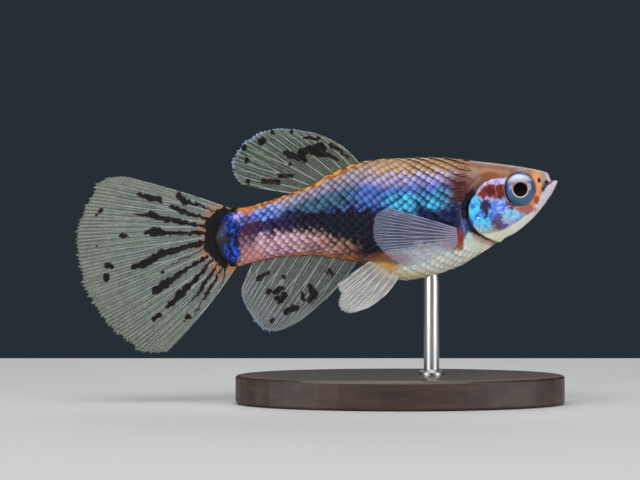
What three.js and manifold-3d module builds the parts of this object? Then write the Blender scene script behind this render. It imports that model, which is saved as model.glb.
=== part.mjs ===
// A life-size museum model of a fancy guppy, 50 mm from jaw tip to tail edge, held
// nose up over a small oval stand by one rod.
//
// Millimetres. +X is towards the head, +Y is the fish's left, +Z is up. The origin is
// the centre of the stand's underside. Side outlines are given as [behind, height]:
// how far a point lies behind the tip of the lower jaw, and how high it lies over the
// lowest tip of the tail fin.
import * as THREE from "three";
import { mergeVertices } from "three/addons/utils/BufferGeometryUtils.js";
import Module from "manifold-3d";

const wasm = await Module();
wasm.setup();

// Driving dimensions
const gap = 0.3; // clearance between pieces that meet
const baseLength = 34;
const baseWidth = 18;
const baseThickness = 3;
const baseBevel = 0.6;
const tailClearance = 2; // from the top of the base up to the lowest tip of the tail
const jawTipX = 16.25; // how far the jaw tip overhangs the centre of the base
const lowestTipZ = baseThickness + tailClearance;

const rightSide = -1;
const leftSide = 1;

// Materials
function finish(color, roughness, metalness = 0) {
  return new THREE.MeshStandardMaterial({ color, roughness, metalness });
}
const materials = {
  headSkin: finish(0x9a6a48, 0.45),
  jawSkin: finish(0xd8cfc0, 0.45),
  gillCover: finish(0x5fa8e6, 0.3, 0.3),
  flank: finish(0x35408c, 0.35, 0.2),
  tailFlesh: finish(0x9a6f8c, 0.4, 0.1),
  eye: finish(0x3d5c86, 0.1),
  fin: finish(0xb9bfb4, 0.5),
  paleFin: finish(0xd6d3cf, 0.5),
  wood: finish(0x2e2622, 0.5),
  steel: finish(0xb5b8bc, 0.3, 1),
};

// Side view to model frame
const xAt = (behind) => jawTipX - behind;
const zAt = (height) => lowestTipZ + height;

// Smooth curve through knots, with no overshoot between them: the slope at a knot is the
// harmonic mean of its neighbours' slopes, or 0 at a peak.
function smoothThrough(places, values) {
  const last = places.length - 1;
  const rise = places.slice(1).map((p, i) => (values[i + 1] - values[i]) / (p - places[i]));
  const slope = values.map((_, i) => {
    if (i === 0) return rise[0];
    if (i === last) return rise[last - 1];
    const product = rise[i - 1] * rise[i];
    return product <= 0 ? 0 : (2 * product) / (rise[i - 1] + rise[i]);
  });
  return (place) => {
    const p = Math.min(Math.max(place, places[0]), places[last]);
    let i = 0;
    while (i < last - 1 && p > places[i + 1]) i += 1;
    const width = places[i + 1] - places[i];
    const u = (p - places[i]) / width;
    const start = values[i] * (1 + 2 * u) + slope[i] * width * u;
    const end = values[i + 1] * (3 - 2 * u) - slope[i + 1] * width * (1 - u);
    return start * (1 - u) * (1 - u) + end * u * u;
  };
}

// Smooth plane curve through points, with t from 0 to 1 along its chords
function curveThrough(points) {
  const reach = [0];
  points.slice(1).forEach((p, i) => {
    reach.push(reach[i] + Math.hypot(p[0] - points[i][0], p[1] - points[i][1]));
  });
  const share = reach.map((r) => r / reach[reach.length - 1]);
  const behindAt = smoothThrough(share, points.map((p) => p[0]));
  const heightAt = smoothThrough(share, points.map((p) => p[1]));
  return (t) => [behindAt(t), heightAt(t)];
}

// A line of points moved sideways, towards the left of its own direction
function shifted(points, distance) {
  return points.map((p, i) => {
    const before = points[Math.max(i - 1, 0)];
    const after = points[Math.min(i + 1, points.length - 1)];
    const along = [after[0] - before[0], after[1] - before[1]];
    const length = Math.hypot(...along);
    return [p[0] - (along[1] / length) * distance, p[1] + (along[0] / length) * distance];
  });
}

// Closed geometry to solid and back
function toSolid(geometry) {
  const bare = geometry.clone();
  bare.deleteAttribute("normal");
  bare.deleteAttribute("uv");
  const merged = mergeVertices(bare, 1e-4);
  return new wasm.Manifold(
    new wasm.Mesh({
      numProp: 3,
      vertProperties: new Float32Array(merged.attributes.position.array),
      triVerts: new Uint32Array(merged.index.array),
    }),
  );
}

function toMesh(name, solid, material) {
  const pieces = solid.decompose().sort((a, b) => b.volume() - a.volume());
  const data = pieces[0].getMesh();
  const geometry = new THREE.BufferGeometry();
  geometry.setAttribute("position", new THREE.BufferAttribute(data.vertProperties, 3));
  geometry.setIndex(new THREE.BufferAttribute(data.triVerts, 1));
  geometry.computeVertexNormals();
  const mesh = new THREE.Mesh(geometry, material);
  mesh.name = name;
  return mesh;
}

function indexedGeometry(vertices, triangles) {
  const geometry = new THREE.BufferGeometry();
  geometry.setAttribute("position", new THREE.Float32BufferAttribute(vertices.flat(), 3));
  geometry.setIndex(triangles.flat());
  return geometry;
}

// A flat outline in the side view, extruded across the fish from one side position to
// another
function slab(outline, fromY, toY) {
  const shape = new THREE.Shape(outline.map(([behind, height]) => new THREE.Vector2(xAt(behind), zAt(height))));
  const geometry = new THREE.ExtrudeGeometry(shape, { depth: toY - fromY, bevelEnabled: false });
  geometry.rotateX(Math.PI / 2);
  geometry.translate(0, toY, 0);
  return toSolid(geometry);
}

// Body, one lofted form from the jaw tip to the rounded end of the tail stalk. Each
// station is [behind, height of the back, height of the belly, half width, how far up
// the widest point lies, squareness above it, squareness below it].
const stations = [
  [0.0, 17.95, 17.85, 0.15, 0.5, 2.0, 2.0],
  [0.1, 18.05, 17.63, 0.62, 0.6, 2.2, 2.0],
  [0.39, 17.98, 17.05, 1.06, 0.6, 2.4, 2.0],
  [0.69, 17.85, 16.49, 1.34, 0.65, 2.4, 2.0],
  [0.81, 18.41, 16.32, 1.46, 0.6, 1.0, 2.0],
  [0.96, 18.74, 16.12, 1.58, 0.6, 1.3, 2.0],
  [1.27, 18.92, 15.65, 1.78, 0.62, 1.8, 2.0],
  [1.79, 19.05, 14.98, 2.08, 0.65, 2.3, 2.0],
  [2.82, 19.27, 13.87, 2.48, 0.66, 2.7, 1.9],
  [4.37, 19.52, 12.62, 2.82, 0.64, 2.9, 1.9],
  [5.92, 19.73, 11.83, 3.02, 0.62, 2.8, 2.0],
  [7.47, 19.94, 10.74, 3.18, 0.58, 2.5, 2.0],
  [10.05, 20.28, 9.25, 3.42, 0.52, 2.2, 2.1],
  [13.15, 20.43, 8.16, 3.58, 0.47, 2.1, 2.1],
  [15.42, 20.35, 7.82, 3.5, 0.45, 2.0, 2.1],
  [18.32, 20.09, 8.73, 3.12, 0.47, 2.0, 2.0],
  [20.07, 19.83, 9.4, 2.82, 0.49, 2.0, 2.0],
  [22.45, 19.06, 9.95, 2.45, 0.5, 2.0, 2.0],
  [25.03, 17.77, 10.29, 2.08, 0.5, 2.0, 2.0],
  [27.61, 16.68, 10.23, 1.78, 0.5, 2.0, 2.0],
  [29.68, 15.98, 9.92, 1.55, 0.5, 2.0, 2.0],
  [31.75, 15.39, 9.48, 1.36, 0.5, 2.0, 2.0],
  [32.78, 15.23, 9.19, 1.22, 0.5, 2.0, 2.0],
  [33.81, 14.93, 9.35, 1.02, 0.5, 2.0, 2.0],
  [34.64, 14.26, 9.92, 0.8, 0.5, 2.0, 2.0],
  [35.26, 13.22, 10.95, 0.56, 0.5, 2.0, 2.0],
  [35.46, 12.4, 11.8, 0.4, 0.5, 2.0, 2.0],
];
const stationPlaces = stations.map((s) => s[0]);
const [backAt, bellyAt, halfWidthAt, widestAt, topSquareness, bottomSquareness] = [1, 2, 3, 4, 5, 6].map((column) =>
  smoothThrough(stationPlaces, stations.map((s) => s[column])),
);

function section(behind, angle) {
  const back = backAt(behind);
  const belly = bellyAt(behind);
  const middle = belly + widestAt(behind) * (back - belly);
  const up = Math.cos(angle);
  const side = Math.sin(angle);
  const power = 2 / (up > 0 ? topSquareness(behind) : bottomSquareness(behind));
  const rise = (up > 0 ? back - middle : belly - middle) * Math.abs(up) ** power;
  const out = halfWidthAt(behind) * Math.sign(side) * Math.abs(side) ** power;
  return [xAt(behind), out, zAt(middle + rise)];
}

// Half width of the body at a place in the side view
function bodyHalfWidth(behind, height) {
  const back = backAt(behind);
  const belly = bellyAt(behind);
  const middle = belly + widestAt(behind) * (back - belly);
  const above = height > middle;
  const share = Math.min(Math.abs(height - middle) / (above ? back - middle : middle - belly), 1);
  const squareness = above ? topSquareness(behind) : bottomSquareness(behind);
  return halfWidthAt(behind) * (1 - share ** squareness) ** (1 / squareness);
}

const ringStep = 1.6;
const around = 30;
function ringPlaces() {
  const places = [];
  for (let i = 0; i < stationPlaces.length - 1; i += 1) {
    const length = stationPlaces[i + 1] - stationPlaces[i];
    const parts = Math.max(Math.ceil(length / ringStep), 1);
    for (let j = 0; j < parts; j += 1) places.push(stationPlaces[i] + (length * j) / parts);
  }
  places.push(stationPlaces[stationPlaces.length - 1]);
  return places;
}

// The body's surface, moved out by a clearance or in by a negative one
function bodySolid(clearance = 0) {
  const places = ringPlaces();
  const vertices = [];
  const triangles = [];
  places.forEach((behind) => {
    for (let i = 0; i < around; i += 1) vertices.push(section(behind, (2 * Math.PI * i) / around));
  });
  for (let ring = 0; ring < places.length - 1; ring += 1) {
    for (let i = 0; i < around; i += 1) {
      const a = ring * around + i;
      const b = ring * around + ((i + 1) % around);
      triangles.push([a, b, a + around], [b, b + around, a + around]);
    }
  }
  const tip = vertices.push([xAt(stationPlaces[0]) , 0, zAt((backAt(0) + bellyAt(0)) / 2)]) - 1;
  const endPlace = places[places.length - 1];
  const end = vertices.push([xAt(endPlace), 0, zAt((backAt(endPlace) + bellyAt(endPlace)) / 2)]) - 1;
  const lastRing = (places.length - 1) * around;
  for (let i = 0; i < around; i += 1) {
    const next = (i + 1) % around;
    triangles.push([tip, next, i], [end, lastRing + i, lastRing + next]);
  }
  const geometry = indexedGeometry(vertices, triangles);
  geometry.computeVertexNormals();
  const position = geometry.attributes.position;
  const normal = geometry.attributes.normal;
  for (let i = 0; i < position.count; i += 1) {
    position.setXYZ(
      i,
      position.getX(i) + normal.getX(i) * clearance,
      position.getY(i) + normal.getY(i) * clearance,
      position.getZ(i) + normal.getZ(i) * clearance,
    );
  }
  return toSolid(geometry);
}

const body = bodySolid();
const clearOfBody = bodySolid(gap);

// Eyes, ellipsoids seated in sockets, with a low raised rim round each
const eyeCentre = { behind: 4.16, height: 17.08 };
const eyeRadii = { x: 1.74, y: 1.3, z: 1.88 };
const eyeSetIn = 0.55; // from the skin in to the eye's centre
const eyeY = bodyHalfWidth(eyeCentre.behind, eyeCentre.height) - eyeSetIn;
const rimRadius = 0.26;

function eyeBall(side, clearance) {
  const geometry = new THREE.SphereGeometry(1, 20, 12);
  geometry.rotateX(Math.PI / 2);
  geometry.scale(eyeRadii.x + clearance, eyeRadii.y + clearance, eyeRadii.z + clearance);
  geometry.translate(xAt(eyeCentre.behind), side * eyeY, zAt(eyeCentre.height));
  return toSolid(geometry);
}

function eyeRim(side) {
  const geometry = new THREE.TorusGeometry(1, 0.14, 6, 22);
  geometry.rotateX(Math.PI / 2);
  geometry.scale(eyeRadii.x + rimRadius, 1.7, eyeRadii.z + rimRadius);
  geometry.translate(xAt(eyeCentre.behind), side * (eyeY + 0.42), zAt(eyeCentre.height));
  return toSolid(geometry);
}

// Mouth: the line between the jaws runs back and down from the notch under the upper
// lip, then straight down to the chin behind the hinge.
const jawLine = [
  [0.75, 18.6],
  [0.75, 17.9],
  [1.27, 17.48],
  [1.68, 16.94],
  [2.1, 16.22],
  [2.45, 15.5],
  [3.13, 14.67],
  [3.9, 13.9],
  [4.5, 12.6],
  [4.6, 11.4],
];
const inFrontOfJaw = [
  [-2, 11.4],
  [-2, 18.6],
];
const jawSlab = slab([...jawLine, ...inFrontOfJaw], -6, 6);
const jawAndGapSlab = slab([...shifted(jawLine, gap), ...inFrontOfJaw], -6, 6);

// Lips, tapered rolls that follow the skin from each corner of the mouth round the front
const lipRadius = 0.3;
function lip(line) {
  const steps = 14;
  const sides = 6;
  const vertices = [];
  const triangles = [];
  const half = curveThrough(line);
  const path = [];
  for (let i = 0; i <= steps; i += 1) {
    const across = (2 * i) / steps - 1;
    const [behind, height] = half(Math.abs(across));
    const y = -Math.sign(across) * Math.max(bodyHalfWidth(behind, height) - 0.12, 0);
    path.push(new THREE.Vector3(xAt(behind), Math.abs(across) < 0.01 ? 0 : y, zAt(height)));
  }
  path.forEach((point, i) => {
    const along = path[Math.min(i + 1, steps)].clone().sub(path[Math.max(i - 1, 0)]).normalize();
    const up = new THREE.Vector3(0, 0, 1);
    const out = along.clone().cross(up).normalize();
    const top = out.clone().cross(along).normalize();
    const taper = 0.45 + 0.55 * Math.sin((Math.PI * i) / steps);
    for (let j = 0; j < sides; j += 1) {
      const angle = (2 * Math.PI * j) / sides;
      const offset = out.clone().multiplyScalar(Math.cos(angle)).addScaledVector(top, Math.sin(angle));
      vertices.push(point.clone().addScaledVector(offset, lipRadius * taper).toArray());
    }
  });
  for (let i = 0; i < steps; i += 1) {
    for (let j = 0; j < sides; j += 1) {
      const a = i * sides + j;
      const b = i * sides + ((j + 1) % sides);
      triangles.push([a, a + sides, b], [b, a + sides, b + sides]);
    }
  }
  const first = vertices.push(path[0].toArray()) - 1;
  const last = vertices.push(path[steps].toArray()) - 1;
  for (let j = 0; j < sides; j += 1) {
    const next = (j + 1) % sides;
    triangles.push([first, j, next], [last, steps * sides + next, steps * sides + j]);
  }
  const solid = toSolid(indexedGeometry(vertices, triangles));
  return solid;
}
const upperLip = lip([
  [0.98, 18.3],
  [1.02, 18.25],
  [1.25, 18.0],
  [1.75, 17.45],
]);
const lowerLip = lip([
  [0.28, 17.85],
  [0.34, 17.8],
  [0.75, 17.45],
  [1.5, 16.75],
]);

// Nostrils
const nostril = { behind: 2.1, height: 18.0, radius: 0.28 };
function nostrilPit(side) {
  const geometry = new THREE.SphereGeometry(nostril.radius, 10, 8);
  const y = bodyHalfWidth(nostril.behind, nostril.height);
  geometry.scale(0.8, 1.4, 1.3);
  geometry.translate(xAt(nostril.behind), side * y, zAt(nostril.height));
  return toSolid(geometry);
}

// Gill covers, plates let into the head with their rear edge free
const coverOutline = [
  [5.75, 18.1],
  [6.95, 18.05],
  [7.85, 17.75],
  [8.5, 17.0],
  [9.05, 16.1],
  [9.35, 15.2],
  [9.35, 14.4],
  [9.1, 13.6],
  [8.6, 12.85],
  [7.9, 12.3],
  [6.9, 11.9],
  [5.9, 12.2],
  [4.9, 12.9],
  [4.75, 13.8],
  [5.2, 14.8],
  [6.15, 15.6],
  [6.5, 16.6],
  [6.1, 17.5],
];
const coverProud = 0.22;
const coverSunk = 0.5;
const centroid = coverOutline
  .reduce((sum, p) => [sum[0] + p[0], sum[1] + p[1]], [0, 0])
  .map((v) => v / coverOutline.length);
const grownOutline = coverOutline.map((p) => {
  const length = Math.hypot(p[0] - centroid[0], p[1] - centroid[1]);
  return p.map((v, axis) => centroid[axis] + (v - centroid[axis]) * (1 + gap / length));
});
const proudBody = bodySolid(coverProud);
const sunkBody = bodySolid(-coverSunk);
const recessFloor = bodySolid(-coverSunk - gap);
const sideSlab = (outline, side) => (side === rightSide ? slab(outline, -6, -0.8) : slab(outline, 0.8, 6));
const gillCover = (side) => proudBody.subtract(sunkBody).intersect(sideSlab(coverOutline, side));
const gillRecess = (side) => sideSlab(grownOutline, side).subtract(recessFloor);

// Gill line, where the head ends: down the nape, round the rear edge of the gill covers
// and forward to the throat
const gillLine = [
  [7.3, 21.5],
  [7.6, 19.2],
  [8.6, 17.9],
  [9.5, 16.3],
  [9.75, 15.0],
  [9.65, 13.9],
  [9.2, 13.0],
  [8.3, 12.2],
  [7.2, 11.6],
  [6.2, 11.0],
  [5.4, 9.0],
];
const headSlab = slab([...gillLine, [-2, 9], [-2, 21.5]], -8, 8);
const headAndGapSlab = slab([...shifted(gillLine, gap), [-2, 9], [-2, 21.5]], -8, 8);

// Lengths of the body behind the gill line
const trunkEnd = 19.9;
const rearTrunkEnd = 31.6;
const lengthOf = (from, to) => slab([[from, 6], [from, 22], [to, 22], [to, 6]], -8, 8);

function headNode() {
  let head = body.intersect(headSlab).subtract(jawAndGapSlab);
  head = head.add(upperLip.subtract(jawAndGapSlab));
  [rightSide, leftSide].forEach((side) => {
    head = head.add(eyeRim(side)).subtract(eyeBall(side, gap));
    head = head.subtract(gillRecess(side)).subtract(nostrilPit(side));
  });
  return head;
}
const jawNode = body.add(lowerLip).intersect(jawSlab).subtract(upperLip);
const behindHead = body.subtract(headAndGapSlab);

// Fins. A fin is a fan of rays from a root line to an outer edge. Each ray is a ridge
// raised in both faces of the membrane, and forks half way out.
//
// root and edge run clockwise in a view of the right side, from the first ray to the
// last. bow is how far the first and last rays bulge outwards. lateral gives the side position at (t across the fan, s along
// the ray).
function fin({ root, edge, rays, steps, bow = [0, 0], lateral, rootThick, membrane, ridge, scallop = 0.1 }) {
  const rootAt = curveThrough(root);
  const edgeAt = curveThrough(edge);
  const perRay = 4;
  const columns = rays * perRay;
  const tipThick = 0.3;
  const forksAt = 0.45;
  const vertices = [[], []];
  for (let i = 0; i <= columns; i += 1) {
    const t = i / columns;
    const phase = i % perRay;
    const single = [0, 0.5, 1, 0.5][phase];
    const forked = [0, 1, 0.35, 1][phase];
    const [rootBehind, rootHeight] = rootAt(t);
    const [edgeBehind, edgeHeight] = edgeAt(t);
    const along = [edgeBehind - rootBehind, edgeHeight - rootHeight];
    const length = Math.hypot(...along);
    const bulge = bow[0] * Math.max(1 - 2 * t, 0) - bow[1] * Math.max(2 * t - 1, 0);
    for (let j = 0; j <= steps; j += 1) {
      const s = j / steps;
      const crest = s < forksAt ? single : forked;
      const out = 4 * s * (1 - s) * bulge;
      const reach = s + (s === 1 ? ((crest - 0.6) * scallop) / length : 0);
      const behind = rootBehind + along[0] * reach - (along[1] / length) * out;
      const height = rootHeight + along[1] * reach + (along[0] / length) * out;
      const web = s === 1 ? tipThick : membrane + (rootThick - membrane) * Math.max(1 - 3 * s, 0);
      const half = (web + 2 * ridge * crest * (1 - 0.5 * s)) / 2;
      const y = lateral(t, s);
      vertices[0].push([xAt(behind), y - half, zAt(height)]);
      vertices[1].push([xAt(behind), y + half, zAt(height)]);
    }
  }
  const row = steps + 1;
  const faceSize = (columns + 1) * row;
  const triangles = [];
  for (let i = 0; i < columns; i += 1) {
    for (let j = 0; j < steps; j += 1) {
      const a = i * row + j;
      const corners = [a, a + 1, a + row + 1, a + row];
      triangles.push([corners[0], corners[1], corners[2]], [corners[0], corners[2], corners[3]]);
      const far = corners.map((c) => c + faceSize);
      triangles.push([far[0], far[2], far[1]], [far[0], far[3], far[2]]);
    }
    const rootHere = i * row;
    const edgeHere = i * row + steps;
    triangles.push([rootHere, rootHere + row, rootHere + row + faceSize], [rootHere, rootHere + row + faceSize, rootHere + faceSize]);
    triangles.push([edgeHere, edgeHere + faceSize, edgeHere + row + faceSize], [edgeHere, edgeHere + row + faceSize, edgeHere + row]);
  }
  for (let j = 0; j < steps; j += 1) {
    const last = columns * row + j;
    triangles.push([j, j + faceSize, j + 1 + faceSize], [j, j + 1 + faceSize, j + 1]);
    triangles.push([last, last + 1, last + 1 + faceSize], [last, last + 1 + faceSize, last + faceSize]);
  }
  const solid = toSolid(indexedGeometry(vertices.flat(), triangles));
  return solid;
}
const rooted = (finSolid) => finSolid.subtract(clearOfBody);

const tailFin = fin({
  root: [[33.2, 14.9], [34.4, 12.2], [33.0, 9.4]],
  edge: [
    [44.87, 18.51],
    [46.5, 18.42],
    [47.65, 17.98],
    [48.6, 16.3],
    [49.4, 14.6],
    [50.0, 12.0],
    [49.75, 10.2],
    [49.1, 7.2],
    [48.2, 5.4],
    [46.9, 3.4],
    [44.7, 1.35],
    [42.8, 0.1],
    [40.53, 0.12],
  ],
  rays: 17,
  steps: 7,
  bow: [0.2, 0.38],
  lateral: (t, s) => 0.55 * Math.sin(2.2 * Math.PI * t + 0.6) * s * s,
  rootThick: 0.8,
  membrane: 0.42,
  ridge: 0.14,
});

const dorsalFin = fin({
  root: [[20.1, 19.2], [23.3, 17.8], [26.4, 16.6]],
  edge: [
    [23.9, 22.5],
    [25.55, 23.09],
    [28.65, 23.52],
    [30.51, 23.22],
    [32.57, 21.9],
    [33.81, 19.75],
    [33.5, 18.6],
    [32.68, 17.65],
  ],
  rays: 9,
  steps: 5,
  bow: [0.4, 0.1],
  lateral: (t, s) => 0.25 * Math.sin(1.6 * Math.PI * t) * s * s,
  rootThick: 0.8,
  membrane: 0.42,
  ridge: 0.14,
});

const analFin = fin({
  root: [[30.9, 10.5], [25.55, 11.1], [20.2, 10.4]],
  edge: [
    [32.65, 6.8],
    [32.6, 5.9],
    [32.0, 4.5],
    [31.25, 3.2],
    [29.9, 2.3],
    [29.2, 2.3],
    [27.82, 2.79],
    [26.9, 3.3],
  ],
  rays: 10,
  steps: 5,
  bow: [0.1, 0.5],
  lateral: (t, s) => -0.25 * Math.sin(1.4 * Math.PI * t) * s * s,
  rootThick: 0.8,
  membrane: 0.42,
  ridge: 0.14,
});

const pelvicFin = (side) =>
  fin({
    root: [[18.9, 10.0], [17.7, 9.4], [16.2, 8.7]],
    edge: [
      [22.9, 7.25],
      [22.5, 6.2],
      [22.75, 5.2],
      [22.3, 4.5],
      [21.6, 4.3],
      [20.6, 4.6],
      [19.9, 4.85],
    ],
    rays: 6,
    steps: 5,
    bow: [0, 0.5],
    lateral: (t, s) => side * (1.15 + 1.5 * s + 0.15 * Math.sin(Math.PI * t) * s),
    rootThick: 0.7,
    membrane: 0.42,
    ridge: 0.13,
    scallop: 0.25,
  });

// The pectoral fins stand out from the flanks on short fleshy bases
const pectoralRoot = [[10.5, 13.0], [10.35, 12.2], [10.7, 11.3]];
const pectoralFlare = 2.3;
const pectoralFin = (side) => {
  const blade = fin({
    root: pectoralRoot,
    edge: [
      [17.8, 15.19],
      [18.8, 14.75],
      [19.3, 13.9],
      [19.4, 12.7],
      [19.1, 11.6],
      [18.3, 10.7],
      [17.2, 9.85],
      [16.0, 9.2],
    ],
    rays: 9,
    steps: 5,
    bow: [0, 0.3],
    lateral: (t, s) => side * (3.0 + pectoralFlare * (1 - (1 - s) ** 2) - 0.3 * t),
    rootThick: 0.75,
    membrane: 0.42,
    ridge: 0.13,
  });
  const lobe = new THREE.SphereGeometry(1, 12, 8);
  lobe.scale(0.95, 0.62, 1.25);
  lobe.translate(xAt(10.2), side * 3.3, zAt(12.25));
  return blade.add(toSolid(lobe));
};

// Stand: an oval wooden base and one steel rod up to the belly
const rodBehind = 13.0;
const rodRadius = 0.8;
const rodSides = 24;

function standBase() {
  const outline = new THREE.Shape();
  outline.absellipse(0, 0, baseLength / 2 - baseBevel, baseWidth / 2 - baseBevel, 0, 2 * Math.PI);
  const geometry = new THREE.ExtrudeGeometry(outline, {
    depth: baseThickness - baseBevel,
    curveSegments: 24,
    bevelThickness: baseBevel / 2,
    bevelSize: baseBevel,
    bevelSegments: 2,
  });
  geometry.translate(0, 0, baseBevel / 2);
  return toSolid(geometry);
}

function standRod() {
  const top = zAt(bellyAt(rodBehind)) + 1;
  const height = top - baseThickness;
  const geometry = new THREE.CylinderGeometry(rodRadius, rodRadius, height, rodSides);
  geometry.rotateX(Math.PI / 2);
  geometry.translate(xAt(rodBehind), 0, baseThickness + height / 2);
  return toSolid(geometry).subtract(clearOfBody);
}

// Assembly
const guppy = new THREE.Group();
guppy.add(
  toMesh("head", headNode(), materials.headSkin),
  toMesh("lower_jaw", jawNode, materials.jawSkin),
  toMesh("trunk", behindHead.intersect(lengthOf(0, trunkEnd)), materials.flank),
  toMesh("rear_trunk", behindHead.intersect(lengthOf(trunkEnd + gap, rearTrunkEnd)), materials.flank),
  toMesh("tail_stalk", behindHead.intersect(lengthOf(rearTrunkEnd + gap, 40)), materials.tailFlesh),
  toMesh("dorsal_fin", rooted(dorsalFin), materials.fin),
  toMesh("anal_fin", rooted(analFin), materials.fin),
  toMesh("tail_fin", rooted(tailFin), materials.fin),
);
for (const [sideName, side] of [["right", rightSide], ["left", leftSide]]) {
  guppy.add(
    toMesh(`gill_cover_${sideName}`, gillCover(side), materials.gillCover),
    toMesh(`eye_${sideName}`, eyeBall(side, 0), materials.eye),
    toMesh(`pectoral_fin_${sideName}`, rooted(pectoralFin(side)), materials.paleFin),
    toMesh(`pelvic_fin_${sideName}`, rooted(pelvicFin(side)), materials.paleFin),
  );
}
guppy.add(
  toMesh("stand_base", standBase(), materials.wood),
  toMesh("stand_rod", standRod(), materials.steel),
);

export default guppy;
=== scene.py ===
"""A fancy guppy as a life-size museum model: jewelled flanks, a spotted fan of a tail, and a
small oval stand with one rod that holds the fish as it swims."""

import math

import bpy
import numpy as np
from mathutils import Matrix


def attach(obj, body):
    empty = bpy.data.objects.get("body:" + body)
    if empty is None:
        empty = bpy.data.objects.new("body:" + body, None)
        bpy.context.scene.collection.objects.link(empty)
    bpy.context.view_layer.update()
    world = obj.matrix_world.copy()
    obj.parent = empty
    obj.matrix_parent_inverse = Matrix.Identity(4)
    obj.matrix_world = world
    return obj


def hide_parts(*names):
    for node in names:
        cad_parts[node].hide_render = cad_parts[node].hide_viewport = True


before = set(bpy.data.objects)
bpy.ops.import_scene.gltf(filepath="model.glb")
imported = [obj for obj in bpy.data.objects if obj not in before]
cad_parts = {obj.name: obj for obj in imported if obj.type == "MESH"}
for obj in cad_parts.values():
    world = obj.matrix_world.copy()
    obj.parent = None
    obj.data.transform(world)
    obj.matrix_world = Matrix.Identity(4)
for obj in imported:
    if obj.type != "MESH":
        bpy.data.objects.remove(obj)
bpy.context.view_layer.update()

# Body
# The fish itself: head, trunk and tail stalk under one unbroken skin, as moist as if it
# were just out of the water. The solid body is parted into head, jaw, gill covers and
# lengths of trunk, and this skin closes over all of them.
#
# Sizes are in millimetres on the fish: how far behind the tip of the lower jaw, how far
# across from the middle, and how high over the tail fin's lowest tip.
JAW_TIP_X = 16.25
LOWEST_TIP_Z = 5.0


def in_frame(behind, across, height):
    behind, across, height = np.broadcast_arrays(behind, across, height)
    return np.stack([JAW_TIP_X - behind, across, LOWEST_TIP_Z + height], -1) * 0.001


def smooth_through(places, values):
    """A smooth curve through knots that doesn't overshoot between them."""
    places, values = np.asarray(places, float), np.asarray(values, float)
    width = np.diff(places)
    rise = np.diff(values) / width
    product = rise[:-1] * rise[1:]
    total = np.where(product > 0, rise[:-1] + rise[1:], 1.0)
    slope = np.concatenate([rise[:1], np.where(product > 0, 2 * product / total, 0), rise[-1:]])

    def at(place):
        p = np.clip(place, places[0], places[-1])
        i = np.clip(np.searchsorted(places, p, side="right") - 1, 0, len(width) - 1)
        u = (p - places[i]) / width[i]
        start = values[i] * (1 + 2 * u) + slope[i] * width[i] * u
        end = values[i + 1] * (3 - 2 * u) - slope[i + 1] * width[i] * (1 - u)
        return start * (1 - u) ** 2 + end * u**2

    return at


# behind, height of the back, height of the belly, half width, how far up the widest point
# lies, squareness above it, squareness below it
STATIONS = np.array(
    [
        (0.0, 17.95, 17.85, 0.15, 0.5, 2.0, 2.0),
        (0.1, 18.05, 17.63, 0.62, 0.6, 2.2, 2.0),
        (0.39, 17.98, 17.05, 1.06, 0.6, 2.4, 2.0),
        (0.69, 17.85, 16.49, 1.34, 0.65, 2.4, 2.0),
        (0.81, 18.41, 16.32, 1.46, 0.6, 1.0, 2.0),
        (0.96, 18.74, 16.12, 1.58, 0.6, 1.3, 2.0),
        (1.27, 18.92, 15.65, 1.78, 0.62, 1.8, 2.0),
        (1.79, 19.05, 14.98, 2.08, 0.65, 2.3, 2.0),
        (2.82, 19.27, 13.87, 2.48, 0.66, 2.7, 1.9),
        (4.37, 19.52, 12.62, 2.82, 0.64, 2.9, 1.9),
        (5.92, 19.73, 11.83, 3.02, 0.62, 2.8, 2.0),
        (7.47, 19.94, 10.74, 3.18, 0.58, 2.5, 2.0),
        (10.05, 20.28, 9.25, 3.42, 0.52, 2.2, 2.1),
        (13.15, 20.43, 8.16, 3.58, 0.47, 2.1, 2.1),
        (15.42, 20.35, 7.82, 3.5, 0.45, 2.0, 2.1),
        (18.32, 20.09, 8.73, 3.12, 0.47, 2.0, 2.0),
        (20.07, 19.83, 9.4, 2.82, 0.49, 2.0, 2.0),
        (22.45, 19.06, 9.95, 2.45, 0.5, 2.0, 2.0),
        (25.03, 17.77, 10.29, 2.08, 0.5, 2.0, 2.0),
        (27.61, 16.68, 10.23, 1.78, 0.5, 2.0, 2.0),
        (29.68, 15.98, 9.92, 1.55, 0.5, 2.0, 2.0),
        (31.75, 15.39, 9.48, 1.36, 0.5, 2.0, 2.0),
        (32.78, 15.23, 9.19, 1.22, 0.5, 2.0, 2.0),
        (33.81, 14.93, 9.35, 1.02, 0.5, 2.0, 2.0),
        (34.64, 14.26, 9.92, 0.8, 0.5, 2.0, 2.0),
        (35.26, 13.22, 10.95, 0.56, 0.5, 2.0, 2.0),
        (35.46, 12.4, 11.8, 0.4, 0.5, 2.0, 2.0),
    ]
)
back_at, belly_at, half_width_at, widest_at, top_square_at, low_square_at = (
    smooth_through(STATIONS[:, 0], STATIONS[:, column]) for column in range(1, 7)
)
BODY_END = STATIONS[-1, 0]


def body_surface(behind, turn):
    """Side position and height of the body at a turn round it, 0 at the back, pi at the belly."""
    back, belly = back_at(behind), belly_at(behind)
    middle = belly + widest_at(behind) * (back - belly)
    up, side = np.cos(turn), np.sin(turn)
    power = 2 / np.where(up > 0, top_square_at(behind), low_square_at(behind))
    rise = np.where(up > 0, back - middle, belly - middle) * np.abs(up) ** power
    return half_width_at(behind) * np.sign(side) * np.abs(side) ** power, middle + rise


def body_half_width(behind, height):
    back, belly = back_at(behind), belly_at(behind)
    middle = belly + widest_at(behind) * (back - belly)
    above = height > middle
    share = np.clip(np.abs(height - middle) / np.where(above, back - middle, middle - belly), 0, 1)
    squareness = np.where(above, top_square_at(behind), low_square_at(behind))
    return half_width_at(behind) * (1 - share**squareness) ** (1 / squareness)


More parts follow.
